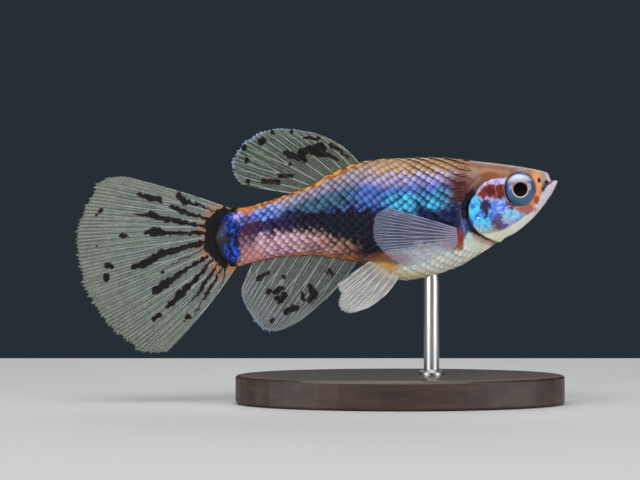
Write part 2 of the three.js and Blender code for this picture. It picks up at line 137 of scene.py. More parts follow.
def ease(value, low, high):
    t = np.clip((value - low) / (high - low), 0, 1)
    return t * t * (3 - 2 * t)


def beside_line(behind, height, line):
    """Distance to an open line, negative on its left as it runs, with how far along it the
    nearest point lies, 0 to 1."""
    line = np.asarray(line, float)
    steps = np.linalg.norm(np.diff(line, axis=0), axis=1)
    reach = np.concatenate([[0], np.cumsum(steps)]) / steps.sum()
    best = np.full(np.shape(behind), 1e9)
    along = np.zeros(np.shape(behind))
    for i, (a, b) in enumerate(zip(line[:-1], line[1:])):
        direction = b - a
        off = [behind - a[0], height - a[1]]
        t = np.clip((off[0] * direction[0] + off[1] * direction[1]) / (direction @ direction), 0, 1)
        gap = np.hypot(off[0] - t * direction[0], off[1] - t * direction[1])
        side = np.sign(direction[1] * off[0] - direction[0] * off[1])
        nearer = gap < np.abs(best) - 1e-9
        best = np.where(nearer, gap * np.where(side == 0, 1, side), best)
        along = np.where(nearer, reach[i] + t * (reach[i + 1] - reach[i]), along)
    return best, along


GILL_EDGE = [
    (5.9, 18.2),
    (7.0, 18.1),
    (7.8, 17.75),
    (8.35, 17.2),
    (8.7, 16.5),
    (9.2, 16.0),
    (9.43, 15.3),
    (9.43, 14.55),
    (9.23, 13.75),
    (8.9, 13.1),
    (8.3, 12.55),
    (7.6, 12.15),
    (6.8, 11.85),
    (6.0, 11.72),
    (5.2, 11.9),
]
MOUTH_LINE = [(0.6, 17.95), (1.0, 17.68), (1.3, 17.45), (1.55, 17.1), (1.72, 16.8)]
JAW_CREASE = [(1.72, 16.8), (2.1, 16.22), (2.45, 15.5), (3.13, 14.67), (4.0, 13.85), (4.7, 13.0)]
JAW_EDGE = [
    (0.3, 17.9),
    (1.27, 17.5),
    (1.68, 16.8),
    (2.15, 16.0),
    (2.7, 15.2),
    (3.4, 14.4),
    (4.4, 13.7),
    (5.6, 13.0),
    (7.4, 12.6),
    (9.5, 12.6),
]
SCALED_FROM = [(8.2, 21.0), (8.3, 19.4), (8.6, 18.4), (8.9, 17.4)] + GILL_EDGE[4:14] + [(4.8, 10.5)]
CHEEK_CREASE = [(5.3, 15.6), (5.75, 14.9), (5.6, 14.1), (5.0, 13.5), (4.2, 13.5)]
EYE = {"behind": 4.16, "height": 17.08, "long": 1.61, "tall": 1.74}
NOSTRIL = {"behind": 2.1, "height": 18.0, "long": 0.16, "tall": 0.27}
SKIN_UNDER_SCALES = 0.07

# How far the skin's features stand proud of the plain body, or sink into it.
COVER_PROUD = 0.2
SLIT_DEEP = 0.42
MOUTH_DEEP = 0.22
LIP_PROUD = 0.07
JAW_CREASE_DEEP = 0.07
CHEEK_CREASE_DEEP = 0.05
EYE_RIM_PROUD = 0.13
SOCKET_DEEP = 1.1
NOSTRIL_DEEP = 0.3
NOSTRIL_RIM_PROUD = 0.05
SHOULDER_PROUD = 0.3
VENT_PROUD = 0.12


def from_middle(behind, height, oval):
    """How far a place lies from an oval's middle, 1 on its edge."""
    along = (behind - oval["behind"]) / oval["long"]
    return np.hypot(along, (height - oval["height"]) / oval["tall"])


def skin_relief(behind, height):
    """How far the skin stands out from the plain body, in millimetres."""
    gill, along_gill = beside_line(behind, height, GILL_EDGE)
    fade = ease(along_gill, 0.0, 0.16) * (1 - ease(along_gill, 0.93, 1.0))
    on_cover = gill > 0
    cover = COVER_PROUD * ease(gill, 0, 0.07) * np.exp(-np.maximum(gill, 0) / 1.7)
    slit = -SLIT_DEEP * (1 - ease(-gill, 0.12, 0.95))
    relief = fade * np.where(on_cover, cover, slit)
    scaled = ease(-gill, 0.0, 0.6) * ease(behind, 6.5, 9.0)
    relief = relief - SKIN_UNDER_SCALES * scaled
    mouth, along_mouth = beside_line(behind, height, MOUTH_LINE)
    depth = MOUTH_DEEP * (1 - ease(along_mouth, 0.85, 1.0))
    relief = relief - depth * np.exp(-((mouth / 0.06) ** 2))
    lips = np.exp(-(((np.abs(mouth) - 0.2) / 0.1) ** 2))
    relief = relief + LIP_PROUD * lips * (along_mouth < 1)
    crease, along_crease = beside_line(behind, height, JAW_CREASE)
    crease_line = np.exp(-((crease / 0.11) ** 2))
    relief = relief - JAW_CREASE_DEEP * crease_line * (1 - ease(along_crease, 0.6, 1))
    cheek, along_cheek = beside_line(behind, height, CHEEK_CREASE)
    faded = ease(along_cheek, 0, 0.2) * (1 - ease(along_cheek, 0.75, 1))
    relief = relief - CHEEK_CREASE_DEEP * np.exp(-((cheek / 0.12) ** 2)) * faded
    eye = from_middle(behind, height, EYE)
    rim = EYE_RIM_PROUD * np.exp(-(((eye - 1.07) / 0.07) ** 2))
    relief = relief + rim - SOCKET_DEEP * (1 - ease(eye, 0.86, 1.0))
    pit = from_middle(behind, height, NOSTRIL)
    pit_rim = NOSTRIL_RIM_PROUD * np.exp(-(((pit - 1.5) / 0.5) ** 2))
    relief = relief - NOSTRIL_DEEP * np.exp(-(pit**2)) + pit_rim
    shoulder = ((behind - 10.1) / 0.6) ** 2 + ((height - 12.3) / 1.0) ** 2
    relief = relief + SHOULDER_PROUD * np.exp(-shoulder)
    vent = ((behind - 17.9) / 0.9) ** 2 + ((height - 8.6) / 0.5) ** 2
    return relief + VENT_PROUD * np.exp(-vent)


def put_in_scene(name, data):
    piece = bpy.data.objects.new(name, data)
    bpy.context.scene.collection.objects.link(piece)
    return piece


def mesh_piece(name, points, faces, corner_uv=None):
    mesh = bpy.data.meshes.new(name)
    mesh.from_pydata(np.asarray(points).tolist(), [], [tuple(face) for face in faces])
    mesh.shade_smooth()
    if corner_uv is not None:
        layer = mesh.uv_layers.new(name="OFBake")
        layer.uv.foreach_set("vector", np.asarray(corner_uv, np.float32).ravel())
    return put_in_scene(name, mesh)


def store(mesh, name, values, kind="FLOAT"):
    """Stores a number, a pair or a vector at each point of a mesh."""
    data = mesh.attributes.new(name, kind, "POINT").data
    data.foreach_set("value" if kind == "FLOAT" else "vector", np.asarray(values, np.float32).ravel())


# The skin is a net of rings, closer together on the head, where its features are.
AROUND = 256
HEAD_END = 10.5
HEAD_RING_STEP = 0.075
TRUNK_RING_STEP = 0.22
UV_EDGE = 0.02
UV_SPAN = 0.96
UV_UNSEEN = 0.005
head_rings = np.arange(0.0, HEAD_END, HEAD_RING_STEP)
trunk_rings = np.arange(HEAD_END, BODY_END, TRUNK_RING_STEP)
ring_places = np.concatenate([head_rings, trunk_rings, [BODY_END]])
turns = 2 * np.pi * np.arange(AROUND) / AROUND
rings, angles = np.meshgrid(ring_places, turns, indexing="ij")
across, height = body_surface(rings, angles)
plain = in_frame(rings, across, height)
along_body = np.gradient(plain, axis=0)
round_body = np.roll(plain, -1, axis=1) - np.roll(plain, 1, axis=1)
outward = np.cross(round_body, along_body)
outward /= np.maximum(np.linalg.norm(outward, axis=-1, keepdims=True), 1e-12)
sunk = skin_relief(rings, height) * ease(np.abs(across), 0.05, 0.5)
sunk = sunk - SKIN_UNDER_SCALES * ease(rings, 6.5, 9.0) * (1 - ease(np.abs(across), 0.05, 0.5))
skin_points = plain + outward * sunk[..., None] * 0.001

count = len(ring_places)
ring_index, turn_index = np.meshgrid(np.arange(count - 1), np.arange(AROUND), indexing="ij")
next_turn = (turn_index + 1) % AROUND
skin_faces = np.stack(
    [
        ring_index * AROUND + turn_index,
        ring_index * AROUND + next_turn,
        (ring_index + 1) * AROUND + next_turn,
        (ring_index + 1) * AROUND + turn_index,
    ],
    -1,
).reshape(-1, 4)
unwrap_u = UV_EDGE + UV_SPAN * ring_places / BODY_END
unwrap_v = UV_EDGE + UV_SPAN * np.arange(AROUND + 1) / AROUND
skin_uv = np.stack(
    [
        np.stack([unwrap_u[ring_index], unwrap_v[turn_index]], -1),
        np.stack([unwrap_u[ring_index], unwrap_v[turn_index + 1]], -1),
        np.stack([unwrap_u[ring_index + 1], unwrap_v[turn_index + 1]], -1),
        np.stack([unwrap_u[ring_index + 1], unwrap_v[turn_index]], -1),
    ],
    -2,
).reshape(-1, 2)
snout_cap = list(range(AROUND))[::-1]
stalk_cap = list(range((count - 1) * AROUND, count * AROUND))
cap_uv = np.full((2 * AROUND, 2), UV_UNSEEN)
skin = mesh_piece(
    "skin",
    skin_points.reshape(-1, 3),
    skin_faces.tolist() + [snout_cap, stalk_cap],
    np.concatenate([skin_uv, cap_uv]),
)


class Wire:
    """A socket that can stand in a sum: each operation adds its Math node."""

    def __init__(self, bench, socket):
        self.bench, self.socket = bench, socket

    def _math(self, operation, first, second=None):
        values = {0: first} if second is None else {0: first, 1: second}
        return self.bench.lay("ShaderNodeMath", {"operation": operation}, values)

    def __add__(self, other):
        return self._math("ADD", self, other)

    __radd__ = __add__

    def __sub__(self, other):
        return self._math("SUBTRACT", self, other)

    def __rsub__(self, other):
        return self._math("SUBTRACT", other, self)

    def __mul__(self, other):
        return self._math("MULTIPLY", self, other)

    __rmul__ = __mul__

    def __truediv__(self, other):
        return self._math("DIVIDE", self, other)

    def __pow__(self, other):
        return self._math("POWER", self, other)

    def least(self, other):
        return self._math("MINIMUM", self, other)

    def most(self, other):
        return self._math("MAXIMUM", self, other)

    def root(self):
        return self._math("SQRT", self)

    def size(self):
        return self._math("ABSOLUTE", self)

    def wave(self):
        return self._math("SINE", self)


class Bench:
    """Where the nodes of one tree are laid and linked."""

    def __init__(self, tree):
        self.tree = tree

    def lay(self, kind, settings=None, sockets=None, out=0):
        node = self.tree.nodes.new(kind)
        for name, value in (settings or {}).items():
            if name == "stops":
                ramp = node.color_ramp.elements
                while len(ramp) < len(value):
                    ramp.new(0.5)
                for stop, (place, colour) in zip(ramp, value):
                    stop.position, stop.color = place, colour
            else:
                setattr(node, name, value)
        for key, value in (sockets or {}).items():
            if isinstance(value, Wire):
                self.tree.links.new(value.socket, node.inputs[key])
            else:
                node.inputs[key].default_value = value
        return Wire(self, node.outputs[out])

    def step(self, value, low, high):
        """0 below low, 1 above high, and eased between."""
        sockets = {"Value": value, "From Min": low, "From Max": high}
        return self.lay("ShaderNodeMapRange", {"interpolation_type": "SMOOTHSTEP"}, sockets)

    def band(self, value, low, high, soft):
        below_top = 1 - self.step(value, high - soft, high + soft)
        return self.step(value, low - soft, low + soft) * below_top

    def tint(self, mask, below, above):
        """The colour below where the mask is 0, the colour above where it is 1."""
        return self.lay("ShaderNodeMix", {"data_type": "RGBA"}, {0: mask, 6: below, 7: above}, out=2)

    def noise(self, place, scale, detail=2.0, rough=0.5):
        sockets = {"Vector": place, "Scale": scale, "Detail": detail, "Roughness": rough}
        return self.lay("ShaderNodeTexNoise", None, sockets)


def paint(red, green, blue):
    """A colour as a paint chart gives it, 0 to 255."""
    light = [((c / 255 + 0.055) / 1.055) ** 2.4 if c > 10 else c / 3294.6 for c in (red, green, blue)]
    return (*light, 1.0)


class Coat:
    """The fish's markings over a place on it, the same for skin and scales."""

    def __init__(self, bench):
        self.bench = bench
        self.place = bench.lay("ShaderNodeTexCoord", out=3)
        split = bench.lay("ShaderNodeSeparateXYZ", None, {0: self.place})
        parts = split.socket.node.outputs
        behind = JAW_TIP_X - Wire(bench, parts[0]) * 1000
        height = Wire(bench, parts[2]) * 1000 - LOWEST_TIP_Z
        fine, coarse = self.drift(2200.0), self.drift(620.0)
        self.soft = (behind + fine[0] * 0.3 + coarse[0] * 0.3, height + fine[1] * 0.3 + coarse[1] * 0.3)
        crumbs = self.drift(5200.0)
        ragged = [fine[i] * 1.1 + coarse[i] * 1.4 + crumbs[i] * 0.5 for i in (0, 1)]
        self.wild = (behind + ragged[0], height + ragged[1])
        self.behind, self.height = self.soft
        self.rise = self.trait("rise") + coarse[2] * 0.13 + fine[2] * 0.05
        self.past_gill = self.trait("past_gill")
        self.chance = bench.step(bench.noise(self.place, 1300.0, 2.0), 0.3, 0.7)

    def drift(self, scale):
        """Three wandering numbers about 0."""
        bench = self.bench
        noise = {"Vector": self.place, "Scale": scale, "Detail": 2.0}
        colour = bench.lay("ShaderNodeTexNoise", None, noise, out=1)
        split = bench.lay("ShaderNodeSeparateXYZ", None, {0: colour})
        return [Wire(bench, split.socket.node.outputs[i]) - 0.5 for i in range(3)]

    def trait(self, name):
        return self.bench.lay("ShaderNodeAttribute", {"attribute_name": name}, out=2)

    def patch(self, behind, height, long, tall, soft=0.25, where=None):
        """An oval of colour on the side of the fish."""
        where = where or self.soft
        b, h = where[0] - behind, where[1] - height
        far = b * b * (1 / long**2) + h * h * (1 / tall**2)
        return 1 - self.bench.step(far, (1 - soft) ** 2, (1 + soft) ** 2)

    def flank(self, luck):
        """Trunk and tail stalk, with luck as each scale's own chance of shine; on the scales it also
        carries a painted glint at each scale's middle.
        """
        bench, behind, rise = self.bench, self.behind, self.rise
        to_rear = bench.step(behind, 18.0, 27.0)
        colour = bench.tint(luck, paint(134, 100, 66), paint(188, 154, 120))
        violet = bench.tint(luck, paint(86, 80, 116), paint(180, 172, 222))
        tan_line = 0.765 + to_rear * 0.095
        colour = bench.tint(1 - bench.step(rise - luck * 0.07, tan_line, tan_line + 0.1), colour, violet)
        blue = bench.tint(luck, paint(20, 24, 84), paint(86, 124, 212))
        colour = bench.tint(1 - bench.step(rise - luck * 0.04, 0.69, 0.79), colour, blue)
        cyan = bench.tint(luck, paint(10, 20, 76), paint(82, 214, 255))
        glint = bench.band(rise, 0.54, 0.70, 0.05) * bench.band(behind, 11.0, 17.8, 1.1)
        colour = bench.tint(glint * (0.5 + self.chance * 0.8).least(1.0), colour, cyan)
        teal = bench.tint(luck, paint(20, 24, 40), paint(70, 112, 132))
        dusk = bench.tint(luck, paint(74, 66, 72), paint(158, 148, 162))
        rear_dusk = bench.band(rise, 0.8, 0.95, 0.04) * bench.band(behind, 19.5, 28.5, 1.6)
        colour = bench.tint(rear_dusk * 0.85, colour, dusk)
        rear_glint = bench.band(rise, 0.57, 0.8, 0.04) * bench.band(behind, 21.0, 28.5, 1.6)
        colour = bench.tint(rear_glint * 0.9, colour, teal)
        stalk_blue = bench.tint(luck, paint(40, 34, 84), paint(122, 158, 250))
        stalk_glint = bench.band(rise, 0.68, 0.9, 0.04) * bench.step(behind, 28.0, 30.0)
        colour = bench.tint(stalk_glint, colour, stalk_blue)
        navy = bench.tint(luck, paint(2, 2, 10), paint(14, 16, 46))
        dark_line = 0.53 + bench.step(behind, 20.0, 30.0) * 0.13
        dark = 1 - bench.step(rise + (self.chance - 0.5) * 0.08, dark_line - 0.03, dark_line + 0.07)
        colour = bench.tint(dark, colour, navy)
        indigo = (1 - bench.step(behind, 13.0, 17.0)) * bench.band(rise, 0.36, 0.56, 0.03)
        colour = bench.tint(indigo * luck * 0.8, colour, paint(30, 42, 104))
        plum = bench.tint(luck, paint(14, 8, 34), paint(62, 44, 94))
        colour = bench.tint(dark * bench.step(behind, 25.0, 30.0), colour, plum)
        pink = bench.tint(luck, paint(132, 86, 108), paint(232, 192, 204))
        salmon = bench.tint(luck, paint(78, 52, 52), paint(214, 154, 134))
        salmon = bench.tint(bench.step(behind, 21.5, 28.0), salmon, pink)
        low_line = 0.06 + bench.step(behind, 19.5, 31.0) * 0.27
        lattice = (self.chance - 0.5) * 0.08 - luck * 0.07
        under = 1 - bench.step(rise + lattice, low_line - 0.02, low_line + 0.14)
        colour = bench.tint(under * bench.step(behind, 19.5, 23.0), colour, salmon)
        belly = bench.tint(luck, paint(214, 212, 198), paint(246, 246, 234))
        sheen = bench.step(bench.noise(self.place, 700.0, 2.0), 0.45, 0.7)
        sheen = sheen * bench.band(rise, 0.08, 0.3, 0.05)
        belly = bench.tint(sheen * 0.7, belly, paint(206, 228, 222))
        belly_line = 0.25 - bench.step(behind, 15.0, 20.0) * 0.22
        pale = 1 - bench.step(rise, belly_line - 0.03, belly_line + 0.07)
        colour = bench.tint(pale * (1 - bench.step(behind, 17.5, 20.5)), colour, belly)
        colour = bench.tint(self.patch(15.2, 8.0, 3.6, 0.6, 0.6) * 0.8, colour, paint(230, 206, 166))
        colour = bench.tint(self.patch(17.4, 9.9, 1.9, 0.6, 0.7) * 0.9, colour, paint(142, 76, 34))
        colour = bench.tint(self.patch(18.3, 9.0, 1.5, 0.5, 0.5), colour, paint(232, 178, 92))
        rust = bench.tint(luck, paint(52, 24, 26), paint(112, 62, 52))
        behind_gill = bench.band(rise, 0.57, 0.84, 0.06) * (1 - bench.step(behind, 10.4, 12.8))
        colour = bench.tint(behind_gill, colour, rust)
        below_gill = (behind - 6.0) * 0.339 - (self.height - 11.72) * 0.941
        throat = bench.band(below_gill, -0.4, 0.75, 0.6) * (1 - bench.step(behind, 8.6, 9.8))
        colour = bench.tint(throat * 0.8, colour, paint(152, 84, 62))
        nape = (1 - bench.step(behind, 8.0, 12.5)) * bench.step(rise, 0.74, 0.84)
        colour = bench.tint(nape * 0.9, colour, bench.tint(luck, paint(124, 82, 58), paint(158, 112, 84)))
        gill_shade = (1 - bench.step(self.past_gill, 0.3, 1.1)) * bench.band(rise, 0.3, 0.72, 0.06)
        colour = bench.tint(gill_shade * 0.95, colour, paint(7, 4, 9))
        gold = bench.tint(bench.step(self.chance, 0.25, 0.75), paint(146, 82, 34), paint(212, 158, 84))
        back_edge = bench.step(rise, 0.92, 0.96) * bench.step(behind, 19.8, 21.5)
        colour = bench.tint(back_edge, colour, gold)
        belly_edge = (1 - bench.step(rise, 0.0, 0.075)) * bench.step(behind, 19.5, 21.5)
        colour = bench.tint(belly_edge, colour, paint(210, 130, 84))
        colour = bench.tint(self.patch(32.1, 14.95, 0.6, 0.5, 0.5), colour, paint(200, 118, 56))
        colour = bench.tint(self.patch(31.9, 12.4, 0.9, 1.7, 0.6) * 0.7, colour, paint(84, 40, 70))
        colour = bench.tint(self.patch(31.5, 10.3, 1.1, 0.7, 0.6) * 0.7, colour, paint(212, 136, 128))
        black_from = 32.5 + (self.height - 12.2).size() * 0.1
        colour = bench.tint(bench.step(behind, black_from, black_from + 0.5), colour, paint(5, 5, 12))
        specks = bench.step(bench.noise(self.place, 2300.0, 2.0), 0.42, 0.66)
        royal = bench.tint(specks, paint(6, 10, 62), paint(34, 96, 246))
        upper = self.patch(33.6, 13.3, 0.7, 1.0, 0.7, self.wild)
        lower = self.patch(33.4, 10.7, 0.8, 0.9, 0.7, self.wild)
        spots = (upper * 0.75).most(lower)
        colour = bench.tint(spots, colour, royal)
        lilac = self.patch(33.0, 14.3, 0.42, 0.35, 0.7, self.wild)
        return bench.tint(lilac, colour, paint(176, 158, 232))

    def head(self, colour):
        """Head markings laid over the flank's colour, on the bare skin, with painted shade in the gill
        slit, mouth slit and nostrils.
        """
        bench, patch, wild = self.bench, self.patch, self.wild
        mottle = bench.step(bench.noise(self.place, 1500.0, 3.0), 0.35, 0.65)
        bare = self.trait("bare")
        orange = bench.tint(mottle, paint(116, 76, 54), paint(142, 100, 76))
        colour = bench.tint(bare, colour, orange)
        crown = bench.step(self.rise, 0.84, 0.96) * bare
        colour = bench.tint(crown, colour, bench.tint(mottle, paint(128, 98, 82), paint(154, 124, 104)))
        colour = bench.tint(patch(1.3, 18.6, 1.1, 0.8, 0.4) * bare, colour, paint(184, 150, 132))
        colour = bench.tint(patch(0.95, 18.5, 0.35, 0.5, 0.4) * bare, colour, paint(200, 204, 222))
        glow = patch(2.55, 16.9, 0.6, 1.8, 0.5)
        colour = bench.tint(glow * bare, colour, paint(244, 160, 102))
        colour = bench.tint(patch(6.6, 18.7, 1.5, 0.7, 0.7) * bare * 0.6, colour, paint(154, 84, 42))
        jaw = self.trait("jaw_pale")
        rearward = bench.step(self.behind, 0.8, 4.0)
        jaw_white = bench.tint(rearward, paint(220, 206, 226), paint(240, 236, 220))
        jaw_white = bench.tint(bench.step(self.behind, 4.5, 6.5) * 0.6, jaw_white, paint(222, 220, 190))
        colour = bench.tint(jaw, colour, jaw_white)
        colour = bench.tint(patch(2.35, 15.95, 0.3, 0.4, 0.4), colour, paint(184, 74, 32))
        # Painted glints: near-white specks scattered over the gill cover's blues and violets.
        specks = bench.step(bench.noise(self.place, 2600.0, 2.0), 0.6, 0.72)
        blues = bench.tint(mottle, paint(20, 100, 220), paint(86, 214, 255))
        blues = bench.tint(specks, blues, paint(190, 244, 255))
        violets = bench.tint(mottle, paint(80, 120, 238), paint(156, 202, 255))
        violets = bench.tint(specks, violets, paint(216, 224, 255))
        cover = bench.tint(bench.step(wild[0], 6.9, 7.5), violets, blues)
        cover = bench.tint(patch(6.1, 13.8, 0.85, 0.9, 0.3, wild), cover, paint(86, 84, 140))
        cover = bench.tint(patch(6.7, 13.2, 0.4, 0.4, 0.4, wild) * 0.8, cover, paint(104, 52, 70))
        cover = bench.tint(patch(5.2, 13.8, 0.6, 0.45, 0.4, wild), cover, paint(176, 186, 228))
        bright = bench.tint(mottle, paint(96, 190, 246), paint(176, 234, 255))
        cover = bench.tint(patch(4.4, 14.55, 1.25, 0.6, 0.3, wild), cover, bright)
        cover = bench.tint(patch(7.7, 15.25, 0.42, 0.85, 0.35, wild), cover, paint(40, 20, 72))
        low_cover = 1 - bench.step(wild[1] - wild[0] * 0.25, 10.7, 11.5)
        cover = bench.tint(low_cover, cover, bench.tint(mottle, paint(150, 190, 186), paint(206, 214, 190)))
        rim = patch(7.0, 17.05, 1.95, 1.2, 0.12)
        cover = bench.tint(rim, cover, bench.tint(mottle, paint(150, 110, 180), paint(206, 200, 246)))
        maroon = patch(6.75, 16.9, 1.45, 0.78, 0.2, wild).most(patch(8.0, 16.5, 0.45, 0.5, 0.3, wild))
        cover = bench.tint(maroon, cover, bench.tint(mottle, paint(84, 14, 10), paint(138, 40, 24)))
        colour = bench.tint(self.trait("gill_cover"), colour, cover)
        colour = bench.tint(patch(5.0, 15.55, 0.62, 0.45, 0.35, wild) * bare, colour, paint(112, 36, 58))
        colour = bench.tint(patch(3.4, 15.05, 1.0, 0.38, 0.4, wild) * bare, colour, paint(186, 106, 98))
        # Painted shade: the gill slit, mouth slit and nostrils are painted near-black, as shade in these
        # recesses.
        colour = bench.tint(self.trait("deep"), colour, paint(8, 4, 4))
        colour = bench.tint(patch(10.3, 12.0, 0.36, 1.0, 0.5), colour, paint(146, 40, 40))
        colour = bench.tint(patch(10.9, 11.2, 0.8, 0.4, 0.6) * 0.8, colour, paint(168, 104, 72))
        colour = bench.tint(patch(9.7, 13.2, 0.5, 0.75, 0.5), colour, paint(62, 74, 128))
        return bench.tint(patch(9.35, 12.1, 0.3, 0.5, 0.6), colour, paint(186, 216, 216))


def new_material(name):
    material = bpy.data.materials.new(name)
    material.use_nodes = True
    material.node_tree.nodes.clear()
    bench = Bench(material.node_tree)
    surface = material.node_tree.nodes.new("ShaderNodeBsdfPrincipled")
    output = material.node_tree.nodes.new("ShaderNodeOutputMaterial")
    material.node_tree.links.new(surface.outputs[0], output.inputs[0])
    return material, bench, surface


def feed(bench, surface, **sockets):
    """Sets or links the shader's sockets, named with _ for a space."""
    for name, value in sockets.items():
        socket = surface.inputs[name.replace("_", " ")]
        if isinstance(value, Wire):
            bench.tree.links.new(value.socket, socket)
        else:
            socket.default_value = value


skin_finish, bench, surface = new_material("moist_skin")
coat = Coat(bench)
skin_luck = bench.noise(coat.place, 900.0, 2.0)
skin_colour = coat.head(coat.flank(skin_luck))
pores = bench.noise(coat.place, 7000.0, 3.0)
grain = bench.lay("ShaderNodeBump", None, {"Strength": 0.25, "Distance": 0.00006, "Height": pores})
feed(bench, surface, Base_Color=skin_colour, Roughness=0.38 + pores * 0.12, Normal=grain)
matt = bench.step(coat.behind, 31.5, 33.5)
feed(bench, surface, Coat_Weight=0.25 - matt * 0.25, Coat_Roughness=0.15, Specular_IOR_Level=0.3)
skin.data.materials.append(skin_finish)

gill, along_gill = beside_line(rings, height, GILL_EDGE)
mouth, along_mouth = beside_line(rings, height, MOUTH_LINE)
jaw = beside_line(rings, height, JAW_EDGE)[0]
clear_of_eye = ease(from_middle(rings, height, EYE), 1.04, 1.1)
# Where shade is painted into the skin's recesses: the gill slit, the mouth slit and the nostrils.
gill_slit = ease(gill, -0.8, -0.35) * (gill < 0)
gill_slit = gill_slit * ease(along_gill, 0.22, 0.4) * (1 - 0.7 * ease(along_gill, 0.7, 0.9))
gape = np.abs(beside_line(rings, height, [(1.36, 17.8), (1.72, 17.08)])[0])
lips = np.exp(-((mouth / 0.07) ** 2)) * (1 - ease(along_mouth, 0.96, 1.0))
mouth_slit = np.maximum(1 - ease(gape, 0.15, 0.26), lips)
nostril = 1 - ease(from_middle(rings, height, NOSTRIL), 0.7, 1.3)
traits = {
    "bare": ease(beside_line(rings, height, SCALED_FROM)[0], -0.15, 0.15),
    "jaw_pale": ease(jaw, -0.18, 0.12) * ease(gill, -0.3, 0.0),
    "gill_cover": ease(gill, -0.03, 0.03)
    * clear_of_eye
    * (1 - ease(height, 18.0, 18.3))
    * ease(rings, 3.2, 3.9)
    * (1 - ease(jaw, -0.25, 0.1)),
    "deep": np.maximum.reduce([gill_slit, mouth_slit, nostril]),
}
for name, values in traits.items():
    store(skin.data, name, values)


def mark_place(piece):
    """Stores at each point how far up the body it lies and how far behind the gill slit."""
    spots = np.empty(len(piece.data.vertices) * 3)
    piece.data.vertices.foreach_get("co", spots)
    spots = spots.reshape(-1, 3) * 1000
    behind, height = JAW_TIP_X - spots[:, 0], spots[:, 2] - LOWEST_TIP_Z
    low, high = belly_at(behind), back_at(behind)
    store(piece.data, "rise", (height - low) / (high - low))
    store(piece.data, "past_gill", np.clip(-beside_line(behind, height, GILL_EDGE)[0], 0, 4))


mark_place(skin)
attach(skin, "root")
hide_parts("head", "lower_jaw", "gill_cover_right", "gill_cover_left")
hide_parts("trunk", "rear_trunk", "tail_stalk")

# Scales
# Small overlapping scales that carry the skin's own markings, in rows that run along the
# fish from the gills to the tail's root. Each is rooted in the skin at its front edge and
# free at its rounded rear edge, so each row laps the one behind it.
ROW_STEP = 0.47
ROWS_EACH_WAY = 34
ROW_STAGGER = 0.45
ROW_CLEARANCE = 0.12
FIRST_SCALE = 6.2
LAST_SCALE = 33.3
WIDEST_PITCH = 0.93
scale_pitch = smooth_through([7.0, 12.0, 20.0, 33.5], [0.84, WIDEST_PITCH, 0.88, 0.72])

# Steps to the points beside a scale's root, along the fish and round it.
LOOK_AHEAD = 0.1
LOOK_ASIDE = 0.04

# One scale, in metres.
SCALE_ROOT_DEEP = 0.00015
SCALE_ROOT_RISE = 0.00007
SCALE_HALF_WIDTH = 0.00064
LEAST_BEND = 0.000002
MOST_BEND = 0.00015
fine_places = np.linspace(5.0, BODY_END - 0.6, 260)
fine_turns = np.linspace(0, np.pi, 241)
fine_rings, fine_angles = np.meshgrid(fine_places, fine_turns, indexing="ij")
fine_across, fine_height = body_surface(fine_rings, fine_angles)
arc = np.concatenate(
    [
        np.zeros((len(fine_places), 1)),
        np.cumsum(np.hypot(np.diff(fine_across, axis=1), np.diff(fine_height, axis=1)), axis=1),
    ],
    axis=1,
)
side_line_arc = arc[np.arange(len(fine_places)), np.abs(fine_angles - 0.52 * np.pi).argmin(axis=1)]


def row_point(place, row):
    """Turn round the body of a scale row at a place, or None past the back or belly."""
    i = (place - fine_places[0]) / (fine_places[1] - fine_places[0])
    low = int(np.clip(math.floor(i), 0, len(fine_places) - 2))
    t = i - low
    here = arc[low] * (1 - t) + arc[low + 1] * t
    target = side_line_arc[low] * (1 - t) + side_line_arc[low + 1] * t - row * ROW_STEP
    if not ROW_CLEARANCE < target < here[-1] - ROW_CLEARANCE:
        return None
    return float(np.interp(target, here, fine_turns))


def scale_root(place, row, side):
    """Where one scale is rooted, how it lies and bends, or None where no scale grows."""
    beyond = place + LOOK_AHEAD
    turn, turn_ahead = row_point(place, row), row_point(beyond, row)
    if turn is None or turn_ahead is None:
        return None
    beside = [(place, turn - LOOK_ASIDE), (place, turn + LOOK_ASIDE)]
    spots = [(place, turn), (beyond, turn_ahead)] + beside
    margin = -float(beside_line(np.array(place), body_surface(place, turn)[1], SCALED_FROM)[0])
    if margin <= 0.1:
        return None
    surface_spots = [(behind, *body_surface(behind, turn_there)) for behind, turn_there in spots]
    point, ahead, above, below = (in_frame(b, side * across, high) for b, across, high in surface_spots)
    lie = ahead - point
    out = np.cross(below - above, lie) * side
    out /= np.linalg.norm(out)
    sag = np.dot(point - (above + below) / 2, out)
    half_chord = np.linalg.norm(below - above) / 2
    share = turn / (2 * np.pi) if side > 0 else 1 - turn / (2 * np.pi)
    return {
        "root": point - out * (SCALE_ROOT_DEEP - SCALE_ROOT_RISE * float(ease(margin, 0.1, 1.4))),
        "lie": lie / np.linalg.norm(lie),
        "out": out,
        "size": float(scale_pitch(place)) / WIDEST_PITCH * (0.8 + 0.2 * float(ease(margin, 0.1, 1.0))),
        "bend": np.clip(sag * (SCALE_HALF_WIDTH / half_chord) ** 2, LEAST_BEND, MOST_BEND),
        "root_uv": (UV_EDGE + UV_SPAN * place / BODY_END, UV_EDGE + UV_SPAN * share),
    }


